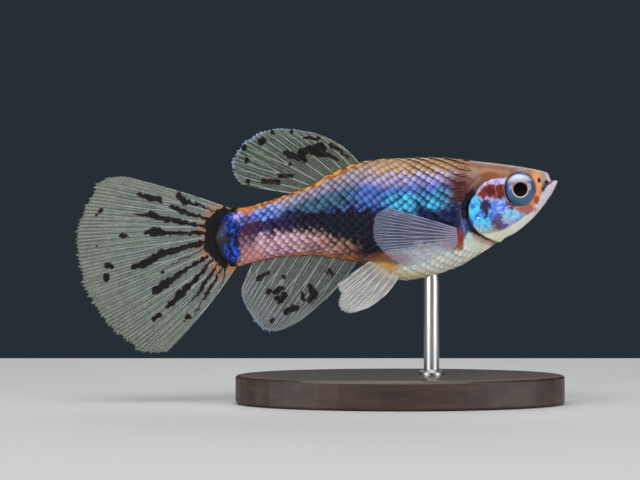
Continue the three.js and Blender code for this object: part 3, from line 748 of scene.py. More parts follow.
def scale_seeds(name, side, seed):
    """A point for each scale of one side, which carries what that scale needs."""
    draw = np.random.default_rng(seed)
    grown_here = []
    for row in range(-ROWS_EACH_WAY, ROWS_EACH_WAY + 1):
        place = FIRST_SCALE + (ROW_STAGGER if row % 2 else 0.0)
        while place < LAST_SCALE:
            scale = scale_root(place, row, side)
            if scale is not None:
                scale["size"] *= draw.uniform(0.96, 1.04)
                scale["luck"] = draw.uniform(0, 1)
                grown_here.append(scale)
            place += float(scale_pitch(place))
    seeds = bpy.data.meshes.new(name)
    seeds.from_pydata([tuple(scale["root"]) for scale in grown_here], [], [])
    kinds = {"lie": "FLOAT_VECTOR", "out": "FLOAT_VECTOR", "root_uv": "FLOAT2"}
    for word in ("lie", "out", "size", "luck", "bend", "root_uv"):
        store(seeds, word, [scale[word] for scale in grown_here], kinds.get(word, "FLOAT"))
    return put_in_scene(name, seeds)


scale_tree = bpy.data.node_groups.new("lapped_scales", "GeometryNodeTree")
sockets = scale_tree.interface
sockets.new_socket("Geometry", in_out="OUTPUT", socket_type="NodeSocketGeometry")
sockets.new_socket("Roots", in_out="INPUT", socket_type="NodeSocketGeometry")
for name, value in (("Length", 0.00155), ("Width", 0.00128), ("Thickness", 0.000014), ("Lift", 0.00011)):
    sockets.new_socket(name, in_out="INPUT", socket_type="NodeSocketFloat").default_value = value
sockets.new_socket("Finish", in_out="INPUT", socket_type="NodeSocketMaterial")
bench = Bench(scale_tree)
given = scale_tree.nodes.new("NodeGroupInput")
roots_in, long_in, wide_in, thick_in, lift_in, finish_in = (Wire(bench, given.outputs[i]) for i in range(6))
cut_block = {"Size": (1, 1, 1), "Vertices X": 6, "Vertices Y": 5, "Vertices Z": 2}
blank = bench.lay("GeometryNodeMeshCube", None, cut_block)
split = bench.lay("ShaderNodeSeparateXYZ", None, {0: bench.lay("GeometryNodeInputPosition")})
local = [Wire(bench, s) for s in split.socket.node.outputs]
back_share = local[0] + 0.5
side_share = local[1] * 2
rear = ((back_share - 0.4).size() / 0.6) ** 1.7
half = (1 - rear).most(0.004) ** 0.75 * 0.5
shape = bench.lay("ShaderNodeCombineXYZ", None, {0: back_share, 1: side_share * half * 2, 2: 0.0})
shape_settings = {"data_type": "FLOAT_VECTOR", "domain": "POINT"}
marked = {"Geometry": blank, "Name": "on_scale", "Value": shape}
blank = bench.lay("GeometryNodeStoreNamedAttribute", shape_settings, marked)
lifted = lift_in * back_share - 0.00001 + local[2] * thick_in
formed = bench.lay(
    "ShaderNodeCombineXYZ", None, {0: back_share * long_in, 1: side_share * half * wide_in, 2: lifted}
)
blank = bench.lay("GeometryNodeSetPosition", None, {"Geometry": blank, "Position": formed})
facing = bench.lay("ShaderNodeSeparateXYZ", None, {0: bench.lay("GeometryNodeInputNormal")}, out=2)
flat_faces = bench.lay("ShaderNodeMath", {"operation": "GREATER_THAN"}, {0: facing.size(), 1: 0.6})
blank = bench.lay("GeometryNodeSetShadeSmooth", None, {"Geometry": blank, "Selection": flat_faces})
vector_read = {"data_type": "FLOAT_VECTOR"}
lie_read = bench.lay("GeometryNodeInputNamedAttribute", vector_read, {"Name": "lie"})
out_read = bench.lay("GeometryNodeInputNamedAttribute", vector_read, {"Name": "out"})
size_read = bench.lay("GeometryNodeInputNamedAttribute", {"data_type": "FLOAT"}, {"Name": "size"})
turned = bench.lay(
    "FunctionNodeAxesToRotation",
    {"primary_axis": "Z", "secondary_axis": "X"},
    {"Primary Axis": out_read, "Secondary Axis": lie_read},
)
placed = {"Points": roots_in, "Instance": blank, "Rotation": turned, "Scale": size_read}
laid = bench.lay("GeometryNodeInstanceOnPoints", None, placed)
laid = bench.lay("GeometryNodeRealizeInstances", None, {"Geometry": laid})
uv_read = bench.lay("GeometryNodeInputNamedAttribute", vector_read, {"Name": "root_uv"})
shape_read = bench.lay("GeometryNodeInputNamedAttribute", vector_read, {"Name": "on_scale"})
bend_read = bench.lay("GeometryNodeInputNamedAttribute", {"data_type": "FLOAT"}, {"Name": "bend"})
sideways = bench.lay("ShaderNodeSeparateXYZ", None, {0: shape_read}, out=1)
drop = bend_read * sideways * sideways * -1
droop = bench.lay("ShaderNodeVectorMath", {"operation": "SCALE"}, {0: out_read, "Scale": drop})
laid = bench.lay("GeometryNodeSetPosition", None, {"Geometry": laid, "Offset": droop})
small = bench.lay("ShaderNodeVectorMath", {"operation": "SCALE"}, {0: shape_read, "Scale": 0.0015})
spot_uv = bench.lay("ShaderNodeVectorMath", {"operation": "ADD"}, {0: uv_read, 1: small})
uv_settings = {"data_type": "FLOAT2", "domain": "CORNER"}
unwrapped = {"Geometry": laid, "Name": "OFBake", "Value": spot_uv}
laid = bench.lay("GeometryNodeStoreNamedAttribute", uv_settings, unwrapped)
laid = bench.lay("GeometryNodeSetMaterial", None, {"Geometry": laid, "Material": finish_in})
scale_tree.links.new(laid.socket, scale_tree.nodes.new("NodeGroupOutput").inputs[0])

scale_finish, bench, surface = new_material("jewelled_scales")
coat = Coat(bench)
luck = bench.lay("ShaderNodeAttribute", {"attribute_name": "luck"}, out=2)
on_scale = bench.lay("ShaderNodeAttribute", {"attribute_name": "on_scale"}, out=1)
split = bench.lay("ShaderNodeSeparateXYZ", None, {0: on_scale})
down, aside = (Wire(bench, split.socket.node.outputs[i]) for i in range(2))
# Painted glint: each scale leans to the brighter paints at the middle of its free part, less towards its
# edges, on top of its own random tone.
along_glint_core = (down - 0.84) * 2.4
from_glint_core = (along_glint_core * along_glint_core + aside * aside).root()
glint_core = 1 - bench.step(from_glint_core, 0.1, 0.8)
shine = (luck * 0.6 + glint_core * 0.7 + 0.04).most(0.0).least(1.0)
colour = coat.head(coat.flank(shine))
outline = 1 - (((down - 0.4).size() / 0.6) ** 1.7)
to_rim = outline.most(0.004) ** 0.75 - aside.size()
nape_blend = bench.step(coat.behind, 8.0, 11.5).most(1 - bench.step(coat.rise, 0.7, 0.8))
rim = (1 - bench.step(to_rim, 0.03, 0.23)) * (0.25 + nape_blend * 0.75)
pale_belly = (1 - bench.step(coat.rise, 0.2, 0.34)) * (1 - bench.step(coat.behind, 18.0, 20.5))
tan_back = bench.step(coat.rise, 0.8, 0.95)
edge_dark = bench.tint(tan_back, (0.12, 0.08, 0.16, 1), (0.68, 0.55, 0.44, 1))
edge_dark = bench.tint(pale_belly, edge_dark, (0.96, 0.95, 0.93, 1))
multiply = {"data_type": "RGBA", "blend_type": "MULTIPLY"}
inked = bench.lay("ShaderNodeMix", multiply, {0: rim, 6: colour, 7: edge_dark}, out=2)
ridges = (down * 60).wave() * 0.5 + 0.5
grain = bench.lay("ShaderNodeBump", None, {"Strength": 0.1, "Distance": 0.00001, "Height": ridges})
metal = (1 - pale_belly) * bench.band(coat.rise, 0.5, 0.9, 0.05) * 0.25
feed(bench, surface, Base_Color=inked, Roughness=0.42 + luck * 0.12, Metallic=metal, Normal=grain)
feed(bench, surface, Coat_Weight=0.08, Coat_Roughness=0.25, Specular_IOR_Level=0.22)


def grown(name, seed_object, tree, settings, finish):
    """The mesh that a Geometry Nodes tree makes from its seed object."""
    modifier = seed_object.modifiers.new("grow", "NODES")
    modifier.node_group = tree
    for item in tree.interface.items_tree:
        if item.in_out == "INPUT" and item.name in settings:
            modifier[item.identifier] = settings[item.name]
        elif item.in_out == "INPUT" and item.socket_type == "NodeSocketMaterial":
            modifier[item.identifier] = finish
    bpy.context.view_layer.update()
    ready = seed_object.evaluated_get(bpy.context.evaluated_depsgraph_get())
    made = bpy.data.meshes.new_from_object(ready)
    made.name = name
    seed_object.modifiers.remove(modifier)
    bpy.data.objects.remove(seed_object)
    return put_in_scene(name, made)


for name, side, seed in (("scales_right", -1, 11), ("scales_left", 1, 12)):
    seeds = scale_seeds(name + "_roots", side, seed)
    scales = grown(name, seeds, scale_tree, {}, scale_finish)
    mark_place(scales)
    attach(scales, "root")

# Eyes
# Large, wet and nearly flush: a black pupil in a thin copper ring, an iris that goes from
# silver above through blue to teal below. Each ball sits in its socket, under a thin rim
# of skin.
EYE_DEEP = 1.3
EYE_SET_BACK = 0.62
EYE_OVER_SOCKET = 0.06
eye_across = float(body_half_width(EYE["behind"], EYE["height"])) - EYE_SET_BACK

eye_finish, bench, surface = new_material("wet_eye")
place = bench.lay("ShaderNodeTexCoord", out=3)
split = bench.lay("ShaderNodeSeparateXYZ", None, {0: place})
parts = split.socket.node.outputs
ahead = EYE["behind"] + 0.02 - (JAW_TIP_X - Wire(bench, parts[0]) * 1000)
above = Wire(bench, parts[2]) * 1000 - LOWEST_TIP_Z - EYE["height"] + 0.07
streaks = bench.noise(place, 2600.0, 3.0)
far = (ahead * ahead + above * above).root()
iris = bench.tint(bench.step(above, 0.35, 1.15), paint(70, 104, 168), paint(214, 226, 240))
iris = bench.tint(bench.step(ahead, 0.2, 1.3) * (1 - bench.step(above, 0.7, 1.2)), iris, paint(78, 92, 118))
iris = bench.tint(1 - bench.step(above, -1.3, -0.55), iris, paint(40, 108, 118))
iris = bench.tint(streaks * 0.45, iris, paint(40, 60, 120))
limbal = bench.step(far + streaks * 0.08, 1.5, 1.7)
iris = bench.tint(limbal, iris, paint(74, 88, 128))
ring = bench.band(far, 0.73, 0.84, 0.03)
copper = bench.tint(bench.step(above, -0.6, 0.4), paint(236, 214, 190), paint(206, 112, 58))
iris = bench.tint(ring, iris, copper)
iris = bench.tint(1 - bench.step(far, 0.71, 0.75), iris, (0.002, 0.002, 0.003, 1))
wet = bench.step(far, 0.7, 0.9) * 0.75 + 0.15
feed(bench, surface, Base_Color=iris, Roughness=0.3, Coat_Weight=wet, Coat_Roughness=0.04)
feed(bench, surface, Specular_IOR_Level=0.1)


def eyeball(name, side):
    long_way, round_way = 40, 64
    points, faces = [], []
    for i in range(1, long_way):
        for j in range(round_way):
            dip, turn = math.pi * i / long_way, 2 * math.pi * j / round_way
            flat = 1.0 - 0.1 * math.exp(-((dip / 0.55) ** 2))
            points.append(
                in_frame(
                    EYE["behind"] + (EYE["long"] + EYE_OVER_SOCKET) * math.sin(dip) * math.cos(turn),
                    side * (eye_across + EYE_DEEP * math.cos(dip) * flat),
                    EYE["height"] + (EYE["tall"] + EYE_OVER_SOCKET) * math.sin(dip) * math.sin(turn),
                )
            )
    outer = len(points)
    points.append(in_frame(EYE["behind"], side * (eye_across + EYE_DEEP * 0.9), EYE["height"]))
    points.append(in_frame(EYE["behind"], side * (eye_across - EYE_DEEP), EYE["height"]))
    for j in range(round_way):
        k = (j + 1) % round_way
        faces.append((outer, j, k))
        last = (long_way - 2) * round_way
        faces.append((outer + 1, last + k, last + j))
    for i in range(long_way - 2):
        for j in range(round_way):
            k = (j + 1) % round_way
            a, b = i * round_way, (i + 1) * round_way
            faces.append((a + j, b + j, b + k))
            faces.append((a + j, b + k, a + k))
    if side < 0:
        faces = [f[::-1] for f in faces]
    ball = mesh_piece(name, np.array(points), faces)
    ball.data.materials.append(eye_finish)
    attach(ball, "root")
    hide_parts(name)


eyeball("eye_right", -1)
eyeball("eye_left", 1)

# Fins
# Clear skin stretched over jointed bony rays, which fork twice on their way to the edge.
# The webs are thinner than paper but at their roots, which are set in the flesh.
RAY_END = 0.97
RAY_STEPS = 22
EDGE_HALF_THICKNESS = 0.012


def curve_through(points):
    points = np.asarray(points, float)
    steps = np.linalg.norm(np.diff(points, axis=0), axis=1)
    share = np.concatenate([[0], np.cumsum(steps)]) / steps.sum()
    behind_at, height_at = smooth_through(share, points[:, 0]), smooth_through(share, points[:, 1])
    return lambda t: np.stack([behind_at(t), height_at(t)], -1)


def fan_place(fan, t, s):
    """A place on a fan of rays: t across it, s from root to edge. In millimetres."""
    t, s = np.broadcast_arrays(np.asarray(t, float), np.asarray(s, float))
    root, edge = fan["root_at"](t), fan["edge_at"](t)
    way = edge - root
    length = np.linalg.norm(way, axis=-1)
    bulge = fan["bow"][0] * np.maximum(1 - 2 * t, 0) - fan["bow"][1] * np.maximum(2 * t - 1, 0)
    bulge = 4 * s * (1 - s) * bulge
    behind = root[..., 0] + way[..., 0] * s - way[..., 1] / length * bulge
    height = root[..., 1] + way[..., 1] * s + way[..., 0] / length * bulge
    return behind, fan["lateral"](t, s), height


ray_tree = bpy.data.node_groups.new("tapered_rays", "GeometryNodeTree")
sockets = ray_tree.interface
sockets.new_socket("Geometry", in_out="OUTPUT", socket_type="NodeSocketGeometry")
sockets.new_socket("Paths", in_out="INPUT", socket_type="NodeSocketGeometry")
sockets.new_socket("Thickness", in_out="INPUT", socket_type="NodeSocketFloat").default_value = 0.0001
sockets.new_socket("Sides", in_out="INPUT", socket_type="NodeSocketInt").default_value = 6
sockets.new_socket("Finish", in_out="INPUT", socket_type="NodeSocketMaterial")
bench = Bench(ray_tree)
given = ray_tree.nodes.new("NodeGroupInput")
paths_in, thick_in, sides_in, finish_in = (Wire(bench, given.outputs[i]) for i in range(4))
profile = bench.lay("GeometryNodeCurvePrimitiveCircle", None, {"Resolution": sides_in, "Radius": thick_in})
taper = bench.lay("GeometryNodeInputRadius")
drawn = {"Curve": paths_in, "Profile Curve": profile, "Scale": taper, "Fill Caps": True}
tubes = bench.lay("GeometryNodeCurveToMesh", None, drawn)
tubes = bench.lay("GeometryNodeSetShadeSmooth", None, {"Geometry": tubes})
tubes = bench.lay("GeometryNodeSetMaterial", None, {"Geometry": tubes, "Material": finish_in})
ray_tree.links.new(tubes.socket, ray_tree.nodes.new("NodeGroupOutput").inputs[0])


class Fin:
    """Web colours and ink marks of one fin, for its web and its rays alike."""

    def __init__(self, bench, streaks, dots):
        self.bench = bench
        self.place = bench.lay("ShaderNodeTexCoord", out=3)
        noise = {"Vector": self.place, "Scale": 1700.0, "Detail": 3.0}
        wobble = bench.lay("ShaderNodeTexNoise", None, noise, out=1)
        from_half = {0: wobble, 1: (0.5, 0.5, 0.5)}
        centred = bench.lay("ShaderNodeVectorMath", {"operation": "SUBTRACT"}, from_half)
        shifted = bench.lay("ShaderNodeVectorMath", {"operation": "SCALE"}, {0: centred, "Scale": 0.0008})
        moved = bench.lay("ShaderNodeVectorMath", {"operation": "ADD"}, {0: self.place, 1: shifted})
        flat = bench.lay("ShaderNodeVectorMath", {"operation": "MULTIPLY"}, {0: moved, 1: (1000, 0, 1000)})
        self.reach = flat_nearest(bench, flat, streaks, dots)
        self.ink = bench.step(self.reach, 0.09, -0.09)
        self.black = bench.tint(bench.step(self.reach, -0.2, 0.05), paint(7, 5, 8), paint(46, 14, 16))


def flat_nearest(bench, flat, streaks, dots):
    """Distance in millimetres to the nearest ink mark: streaks have two ends and a width at
    each, dots have a place and a radius."""
    nearest = None
    for (b0, h0, r0), (b1, h1, r1) in streaks:
        start = (JAW_TIP_X - b0, 0.0, LOWEST_TIP_Z + h0)
        way = (b0 - b1, 0.0, h1 - h0)
        off = bench.lay("ShaderNodeVectorMath", {"operation": "SUBTRACT"}, {0: flat, 1: start})
        along = bench.lay("ShaderNodeVectorMath", {"operation": "DOT_PRODUCT"}, {0: off, 1: way}, out=1)
        along = (along * (1 / (way[0] ** 2 + way[2] ** 2))).most(0.0).least(1.0)
        step = bench.lay("ShaderNodeVectorMath", {"operation": "SCALE"}, {0: way, "Scale": along})
        rest = bench.lay("ShaderNodeVectorMath", {"operation": "SUBTRACT"}, {0: off, 1: step})
        far = bench.lay("ShaderNodeVectorMath", {"operation": "LENGTH"}, {0: rest}, out=1)
        far = far - (along * (r1 - r0) + r0)
        nearest = far if nearest is None else nearest.least(far)
    for b, h, r in dots:
        middle = (JAW_TIP_X - b, 0.0, LOWEST_TIP_Z + h)
        far = bench.lay("ShaderNodeVectorMath", {"operation": "DISTANCE"}, {0: flat, 1: middle}, out=1)
        far = far - r
        nearest = far if nearest is None else nearest.least(far)
    return nearest


def fin_finish(name, streaks, dots, web, tip, ray, opaque, edge, lines, root=None):
    """Web and ray materials of one fin. opaque is how much light the web holds back, edge how
    blue its margin is, lines how many fine lines cross it, root the colour at its foot."""
    web_finish, bench, surface = new_material(name + "_web")
    marks = Fin(bench, streaks, dots)
    out_share = bench.lay("ShaderNodeAttribute", {"attribute_name": "out_share"}, out=2)
    fan_share = bench.lay("ShaderNodeAttribute", {"attribute_name": "fan_share"}, out=2)
    mottle = bench.noise(marks.place, 800.0, 3.0)
    wander = bench.noise(marks.place, 1600.0, 2.0)
    fine = ((fan_share * (2 * math.pi * lines) + wander * 1.5).wave() * 0.5 + 0.5) * wander * 1.6
    fine = fine.least(1.0)
    colour = bench.tint((out_share + (mottle - 0.5) * 0.6).most(0.0).least(1.0), web, tip)
    colour = bench.tint(fine * 0.55, colour, ray)
    colour = bench.tint(bench.step(out_share, 0.94, 1.0) * edge, colour, paint(170, 190, 232))
    foot = 1 - bench.step(out_share + (mottle - 0.5) * 0.1, 0.08, 0.26)
    if root is not None:
        colour = bench.tint(foot * bench.step(mottle, 0.3, 0.55), colour, root)
    colour = bench.tint(marks.ink, colour, marks.black)
    alpha = opaque * (0.6 + mottle * 0.8 + fine) + foot * 0.12
    alpha = (alpha + marks.ink).least(1.0)
    feed(bench, surface, Base_Color=colour, Roughness=0.45, Alpha=alpha, Specular_IOR_Level=0.3)
    ray_finish, bench, surface = new_material(name + "_rays")
    marks = Fin(bench, streaks, dots)
    joints = bench.noise(marks.place, 5200.0, 1.0)
    colour = bench.tint(joints, ray, tuple(c * 0.72 for c in ray[:3]) + (1.0,))
    colour = bench.tint(marks.ink * 0.95, colour, marks.black)
    feed(bench, surface, Base_Color=colour, Roughness=0.4, Specular_IOR_Level=0.3)
    return web_finish, ray_finish


def grow_fin(name, fan, finishes, rays, across, out, thick, ray_thick, forks):
    """One fin: a closed web with a ragged margin, and the forked rays in it."""
    chance = np.random.default_rng(len(name) + rays)
    fan["root_at"], fan["edge_at"] = curve_through(fan["root"]), curve_through(fan["edge"])
    ts, ss = np.linspace(0, 1, across + 1), np.linspace(0, 1, out + 1)
    t, s = np.meshgrid(ts, ss, indexing="ij")
    branch = t * (rays - 1) * 4
    ripple = 0.5 + 0.5 * np.cos(2 * np.pi * branch)
    tips = chance.uniform(0, 1, rays * 4 + 1)[np.round(branch).astype(int)]
    scallop = fan.get("scallop", 0.02)
    reach = s * (1 - scallop * (1 - ripple + 1.2 * tips) * s**6)
    behind, lateral, height = fan_place(fan, t, reach)
    web_half = thick * (1 - 0.75 * s) / 2 + EDGE_HALF_THICKNESS
    web_half = np.where(s >= 1, EDGE_HALF_THICKNESS, web_half)
    web_half = web_half * (1 + 1.2 * np.maximum(1 - 4 * s, 0))
    points = []
    for way in (-1, 1):
        points.append(in_frame(behind, lateral + way * web_half, height).reshape(-1, 3))
    row = out + 1
    layer = (across + 1) * row
    i, j = np.meshgrid(np.arange(across), np.arange(out), indexing="ij")
    a = i * row + j
    near = np.stack([a, a + 1, a + row + 1, a + row], -1).reshape(-1, 4)
    far = near[:, ::-1] + layer
    u, v = i / across, j / out
    du, dv = 1 / across, 1 / out
    corners = [(u, v), (u, v + dv), (u + du, v + dv), (u + du, v)]
    near_uv = np.stack([np.stack(corner, -1) for corner in corners], -2)
    near_uv = near_uv.reshape(-1, 4, 2) * (UV_SPAN, 0.46) + (UV_EDGE, UV_EDGE)
    far_uv = near_uv[:, ::-1] + (0, 0.5)
    k = np.arange(across)
    root_here, edge_here = k * row, k * row + out
    root_wall = np.stack([root_here, root_here + row, root_here + row + layer, root_here + layer], -1)
    edge_wall = np.stack([edge_here, edge_here + layer, edge_here + row + layer, edge_here + row], -1)
    m = np.arange(out)
    first_wall = np.stack([m, m + layer, m + 1 + layer, m + 1], -1)
    last = across * row + m
    last_wall = np.stack([last, last + 1, last + 1 + layer, last + layer], -1)
    walls = np.concatenate([root_wall, edge_wall, first_wall, last_wall])
    wall_uv = np.full((len(walls), 4, 2), UV_UNSEEN)
    web = mesh_piece(
        name + "_web",
        np.concatenate(points),
        np.concatenate([near, far, walls]),
        np.concatenate([near_uv, far_uv, wall_uv]),
    )
    for attribute, values in (("out_share", s), ("fan_share", t)):
        both = np.concatenate([values.ravel(), values.ravel()])
        store(web.data, attribute, both)
    web.data.materials.append(finishes[0])
    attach(web, "root")
    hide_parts(name)

    paths, tapers, starts = [], [], []
    gap = 1 / (rays - 1)

    def lay_path(t_from, t_to, s_from, s_to, width_from, width_to):
        steps = max(int((s_to - s_from) * RAY_STEPS), 3)
        share = np.linspace(0, 1, steps + 1)
        t_path = np.clip(t_from + (t_to - t_from) * ease(share, 0, 1), 0.004, 0.996)
        s_path = s_from + (s_to - s_from) * share
        starts.append(len(paths))
        paths.extend(in_frame(*fan_place(fan, t_path, s_path)))
        tapers.extend(width_from + (width_to - width_from) * share)

    for t_ray in np.arange(rays) * gap:
        lay_path(t_ray, t_ray, 0.0, forks[0], 1.0, 0.72)
        for half_side in (-1, 1):
            t_half = t_ray + half_side * gap * 0.25
            lay_path(t_ray, t_half, forks[0], forks[1], 0.66, 0.5)
            for quarter in (-1, 1):
                lay_path(t_half, t_half + quarter * gap * 0.125, forks[1], RAY_END, 0.46, 0.3)
    lines = bpy.data.curves.new(name + "_paths", "CURVE")
    lines.dimensions = "3D"
    bounds = starts + [len(paths)]
    for begin, stop in zip(bounds[:-1], bounds[1:]):
        spline = lines.splines.new("POLY")
        spline.points.add(stop - begin - 1)
        for point, place, taper in zip(spline.points, paths[begin:stop], tapers[begin:stop]):
            point.co = (*place, 1)
            point.radius = taper
    drawn_paths = put_in_scene(name + "_paths", lines)
    ray_size = {"Thickness": ray_thick * 0.001}
    ray_piece = grown(name + "_rays", drawn_paths, ray_tree, ray_size, finishes[1])
    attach(ray_piece, "root")


# The tail fin: a broad fan of branched rays, with black streaks that burst from the tail's
# root and dark dots further out.
TAIL_STREAKS = [
    ((43.3, 16.6, 0.2), (42.2, 16.3, 0.36)),
    ((42.2, 16.3, 0.36), (41.0, 16.0, 0.32)),
    ((39.2, 16.5, 0.38), (38.4, 15.7, 0.34)),
    ((38.2, 15.9, 0.26), (35.3, 14.8, 0.06)),
    ((39.9, 15.4, 0.24), (38.6, 14.8, 0.36)),
    ((38.6, 14.8, 0.36), (35.6, 13.9, 0.14)),
    ((43.7, 14.5, 0.1), (41.8, 14.5, 0.36)),
    ((41.8, 14.4, 0.36), (40.2, 14.0, 0.28)),
    ((40.2, 14.0, 0.28), (36.2, 13.2, 0.14)),
    ((42.6, 12.6, 0.2), (41.7, 12.7, 0.56)),
    ((41.6, 12.8, 0.5), (40.6, 12.6, 0.3)),
    ((40.8, 12.6, 0.26), (36.2, 12.6, 0.22)),
    ((43.9, 9.1, 0.3), (42.5, 9.4, 0.46)),
    ((42.6, 9.4, 0.44), (40.9, 10.5, 0.4)),
    ((40.9, 10.5, 0.4), (36.2, 11.7, 0.24)),
    ((40.5, 9.0, 0.08), (36.2, 11.1, 0.1)),
    ((41.6, 6.6, 0.34), (40.4, 7.4, 0.46)),
    ((40.4, 7.4, 0.44), (38.4, 8.8, 0.24)),
    ((38.4, 8.8, 0.24), (36.1, 10.2, 0.16)),
    ((40.3, 5.0, 0.28), (38.8, 6.3, 0.44)),
    ((38.9, 6.3, 0.44), (37.3, 7.9, 0.26)),
    ((37.3, 7.9, 0.26), (35.6, 9.8, 0.16)),
    ((38.2, 5.2, 0.06), (36.6, 6.9, 0.26)),
    ((36.8, 6.9, 0.24), (35.1, 9.4, 0.12)),
    ((37.5, 4.2, 0.06), (35.9, 6.8, 0.2)),
    ((35.9, 6.8, 0.18), (34.5, 9.2, 0.12)),
    ((34.8, 6.9, 0.06), (34.2, 9.0, 0.14)),
    ((34.4, 15.0, 0.45), (35.6, 13.6, 0.8)),
    ((35.6, 13.6, 0.8), (35.7, 11.4, 0.85)),
    ((35.7, 11.4, 0.85), (34.4, 9.4, 0.5)),
]
TAIL_DOTS = [
    (44.9, 12.3, 0.32),
    (44.6, 12.3, 0.3),
    (47.6, 11.3, 0.14),
    (47.3, 14.9, 0.3),
    (47.6, 14.5, 0.24),
    (46.5, 9.3, 0.42),
    (46.1, 9.1, 0.38),
    (46.5, 8.0, 0.46),
    (40.8, 8.6, 0.28),
    (41.6, 3.8, 0.3),
    (41.2, 4.1, 0.36),
    (38.2, 3.9, 0.34),
    (38.5, 3.4, 0.16),
]
tail = {
    "root": [(33.2, 14.9), (34.4, 12.2), (33.0, 9.4)],
    "edge": [
        (44.87, 18.51),
        (46.5, 18.42),
        (47.65, 17.98),
        (48.6, 16.3),
        (49.4, 14.6),
        (50.0, 12.0),
        (49.75, 10.2),
        (49.1, 7.2),
        (48.2, 5.4),
        (46.9, 3.4),
        (44.7, 1.35),
        (42.8, 0.1),
        (40.53, 0.12),
    ],
    "bow": (0.2, 0.38),
    "lateral": lambda t, s: (0.55 * np.sin(2.2 * np.pi * t + 0.6) + 0.12 * np.sin(13 * t)) * s * s,
}
tail_finish = fin_finish(
    "tail_fin",
    TAIL_STREAKS,
    TAIL_DOTS,
    web=paint(128, 146, 150),
    tip=paint(134, 142, 126),
    ray=paint(184, 190, 178),
    opaque=0.25,
    edge=0.0,
    lines=66,
    root=paint(226, 140, 66),
)
grow_fin("tail_fin", tail, tail_finish, 17, 256, 80, 0.05, 0.065, forks=(0.32, 0.6))

# The dorsal fin: nine rays over the rear of the back, spotted, with a bluish upper edge.
DORSAL_DOTS = [
    (30.5, 22.1, 0.5),
    (32.3, 21.4, 0.36),
    (32.1, 20.1, 0.34),
    (33.4, 19.2, 0.2),
    (33.3, 20.5, 0.2),
    (32.0, 17.9, 0.3),
    (29.4, 23.0, 0.22),
    (27.5, 23.1, 0.26),
    (27.6, 19.7, 0.2),
]
DORSAL_STREAKS = [
    ((30.3, 17.9, 0.28), (28.8, 17.9, 0.24)),
    ((28.8, 18.5, 0.22), (27.4, 18.5, 0.22)),
    ((26.4, 21.0, 0.45), (24.4, 21.4, 0.6)),
    ((28.2, 20.9, 0.22), (26.2, 20.4, 0.34)),
    ((27.7, 20.4, 0.2), (26.1, 20.1, 0.3)),
    ((24.6, 20.9, 0.5), (22.6, 20.2, 0.12)),
    ((26.2, 22.4, 0.2), (24.7, 22.4, 0.24)),
    ((23.4, 21.7, 0.28), (21.6, 20.4, 0.12)),
]
dorsal = {
    "root": [(20.1, 19.2), (23.3, 17.8), (26.4, 16.6)],
    "edge": [
        (23.9, 22.5),
        (25.55, 23.09),
        (28.65, 23.52),
        (30.51, 23.22),
        (32.57, 21.9),
        (33.81, 19.75),
        (33.5, 18.6),
        (32.68, 17.65),
    ],
    "bow": (0.4, 0.1),
    "lateral": lambda t, s: 0.25 * np.sin(1.6 * np.pi * t) * s * s,
}
dorsal_finish = fin_finish(
    "dorsal_fin",
    DORSAL_STREAKS,
    DORSAL_DOTS,
    web=paint(80, 88, 80),
    tip=paint(76, 106, 84),
    ray=paint(162, 162, 150),
    opaque=0.3,
    edge=0.9,
    lines=30,
)
grow_fin("dorsal_fin", dorsal, dorsal_finish, 9, 128, 60, 0.05, 0.1, forks=(0.38, 0.7))

# The anal fin: a broad fan under the tail stalk, as a female has, spotted like the dorsal.
ANAL_DOTS = [
    (30.7, 8.1, 0.3),
    (28.3, 8.1, 0.26),
    (29.8, 6.6, 0.38),
    (28.8, 5.8, 0.42),
    (27.9, 4.6, 0.4),
    (29.5, 3.6, 0.32),
    (23.8, 8.5, 0.22),
    (26.3, 6.1, 0.34),
    (27.3, 5.0, 0.2),
]
ANAL_STREAKS = [
    ((30.9, 7.9, 0.3), (29.9, 8.5, 0.24)),
    ((29.2, 6.5, 0.34), (28.5, 6.9, 0.3)),
    ((28.2, 6.2, 0.4), (28.6, 5.6, 0.36)),
    ((28.0, 4.4, 0.3), (27.0, 4.9, 0.36)),
    ((25.6, 7.1, 0.3), (25.1, 6.2, 0.42)),
    ((25.1, 6.2, 0.42), (25.6, 5.7, 0.3)),
    ((26.4, 6.3, 0.26), (26.2, 5.8, 0.3)),
    ((23.6, 8.9, 0.14), (23.2, 8.3, 0.2)),
]
anal = {
    "root": [(30.9, 10.5), (25.55, 11.1), (20.2, 10.4)],
    "edge": [
        (32.65, 6.8),
        (32.6, 5.9),
        (32.0, 4.5),
        (31.25, 3.2),
        (29.9, 2.3),
        (29.2, 2.3),
        (27.82, 2.79),
        (26.9, 3.3),
    ],
    "bow": (0.1, 0.5),
    "lateral": lambda t, s: -0.25 * np.sin(1.4 * np.pi * t) * s * s,
}
anal_finish = fin_finish(
    "anal_fin",
    ANAL_STREAKS,
    ANAL_DOTS,
    web=paint(98, 104, 90),
    tip=paint(98, 114, 122),
    ray=paint(174, 176, 172),
    opaque=0.3,
    edge=0.7,
    lines=34,
)
grow_fin("anal_fin", anal, anal_finish, 10, 144, 60, 0.05, 0.09, forks=(0.3, 0.62))

# The paired fins, without ink: short white pelvic fins under the belly, and clear pectoral
# fins that stand out from the flanks behind the gills.
NO_INK = [((0, 0, 0.01), (0.1, 0, 0.01))]
pelvic_finish = fin_finish(
    "pelvic_fin",
    NO_INK,
    [],
    web=paint(166, 162, 152),
    tip=paint(160, 164, 168),
    ray=paint(220, 220, 218),
    opaque=0.3,
    edge=0.0,
    lines=24,
    root=paint(238, 222, 190),
)
pectoral_finish = fin_finish(
    "pectoral_fin",
    NO_INK,
    [],
    web=paint(170, 156, 190),
    tip=paint(140, 152, 190),
    ray=paint(166, 172, 196),
    opaque=0.1,
    edge=0.0,
    lines=34,
    root=paint(190, 160, 190),
)


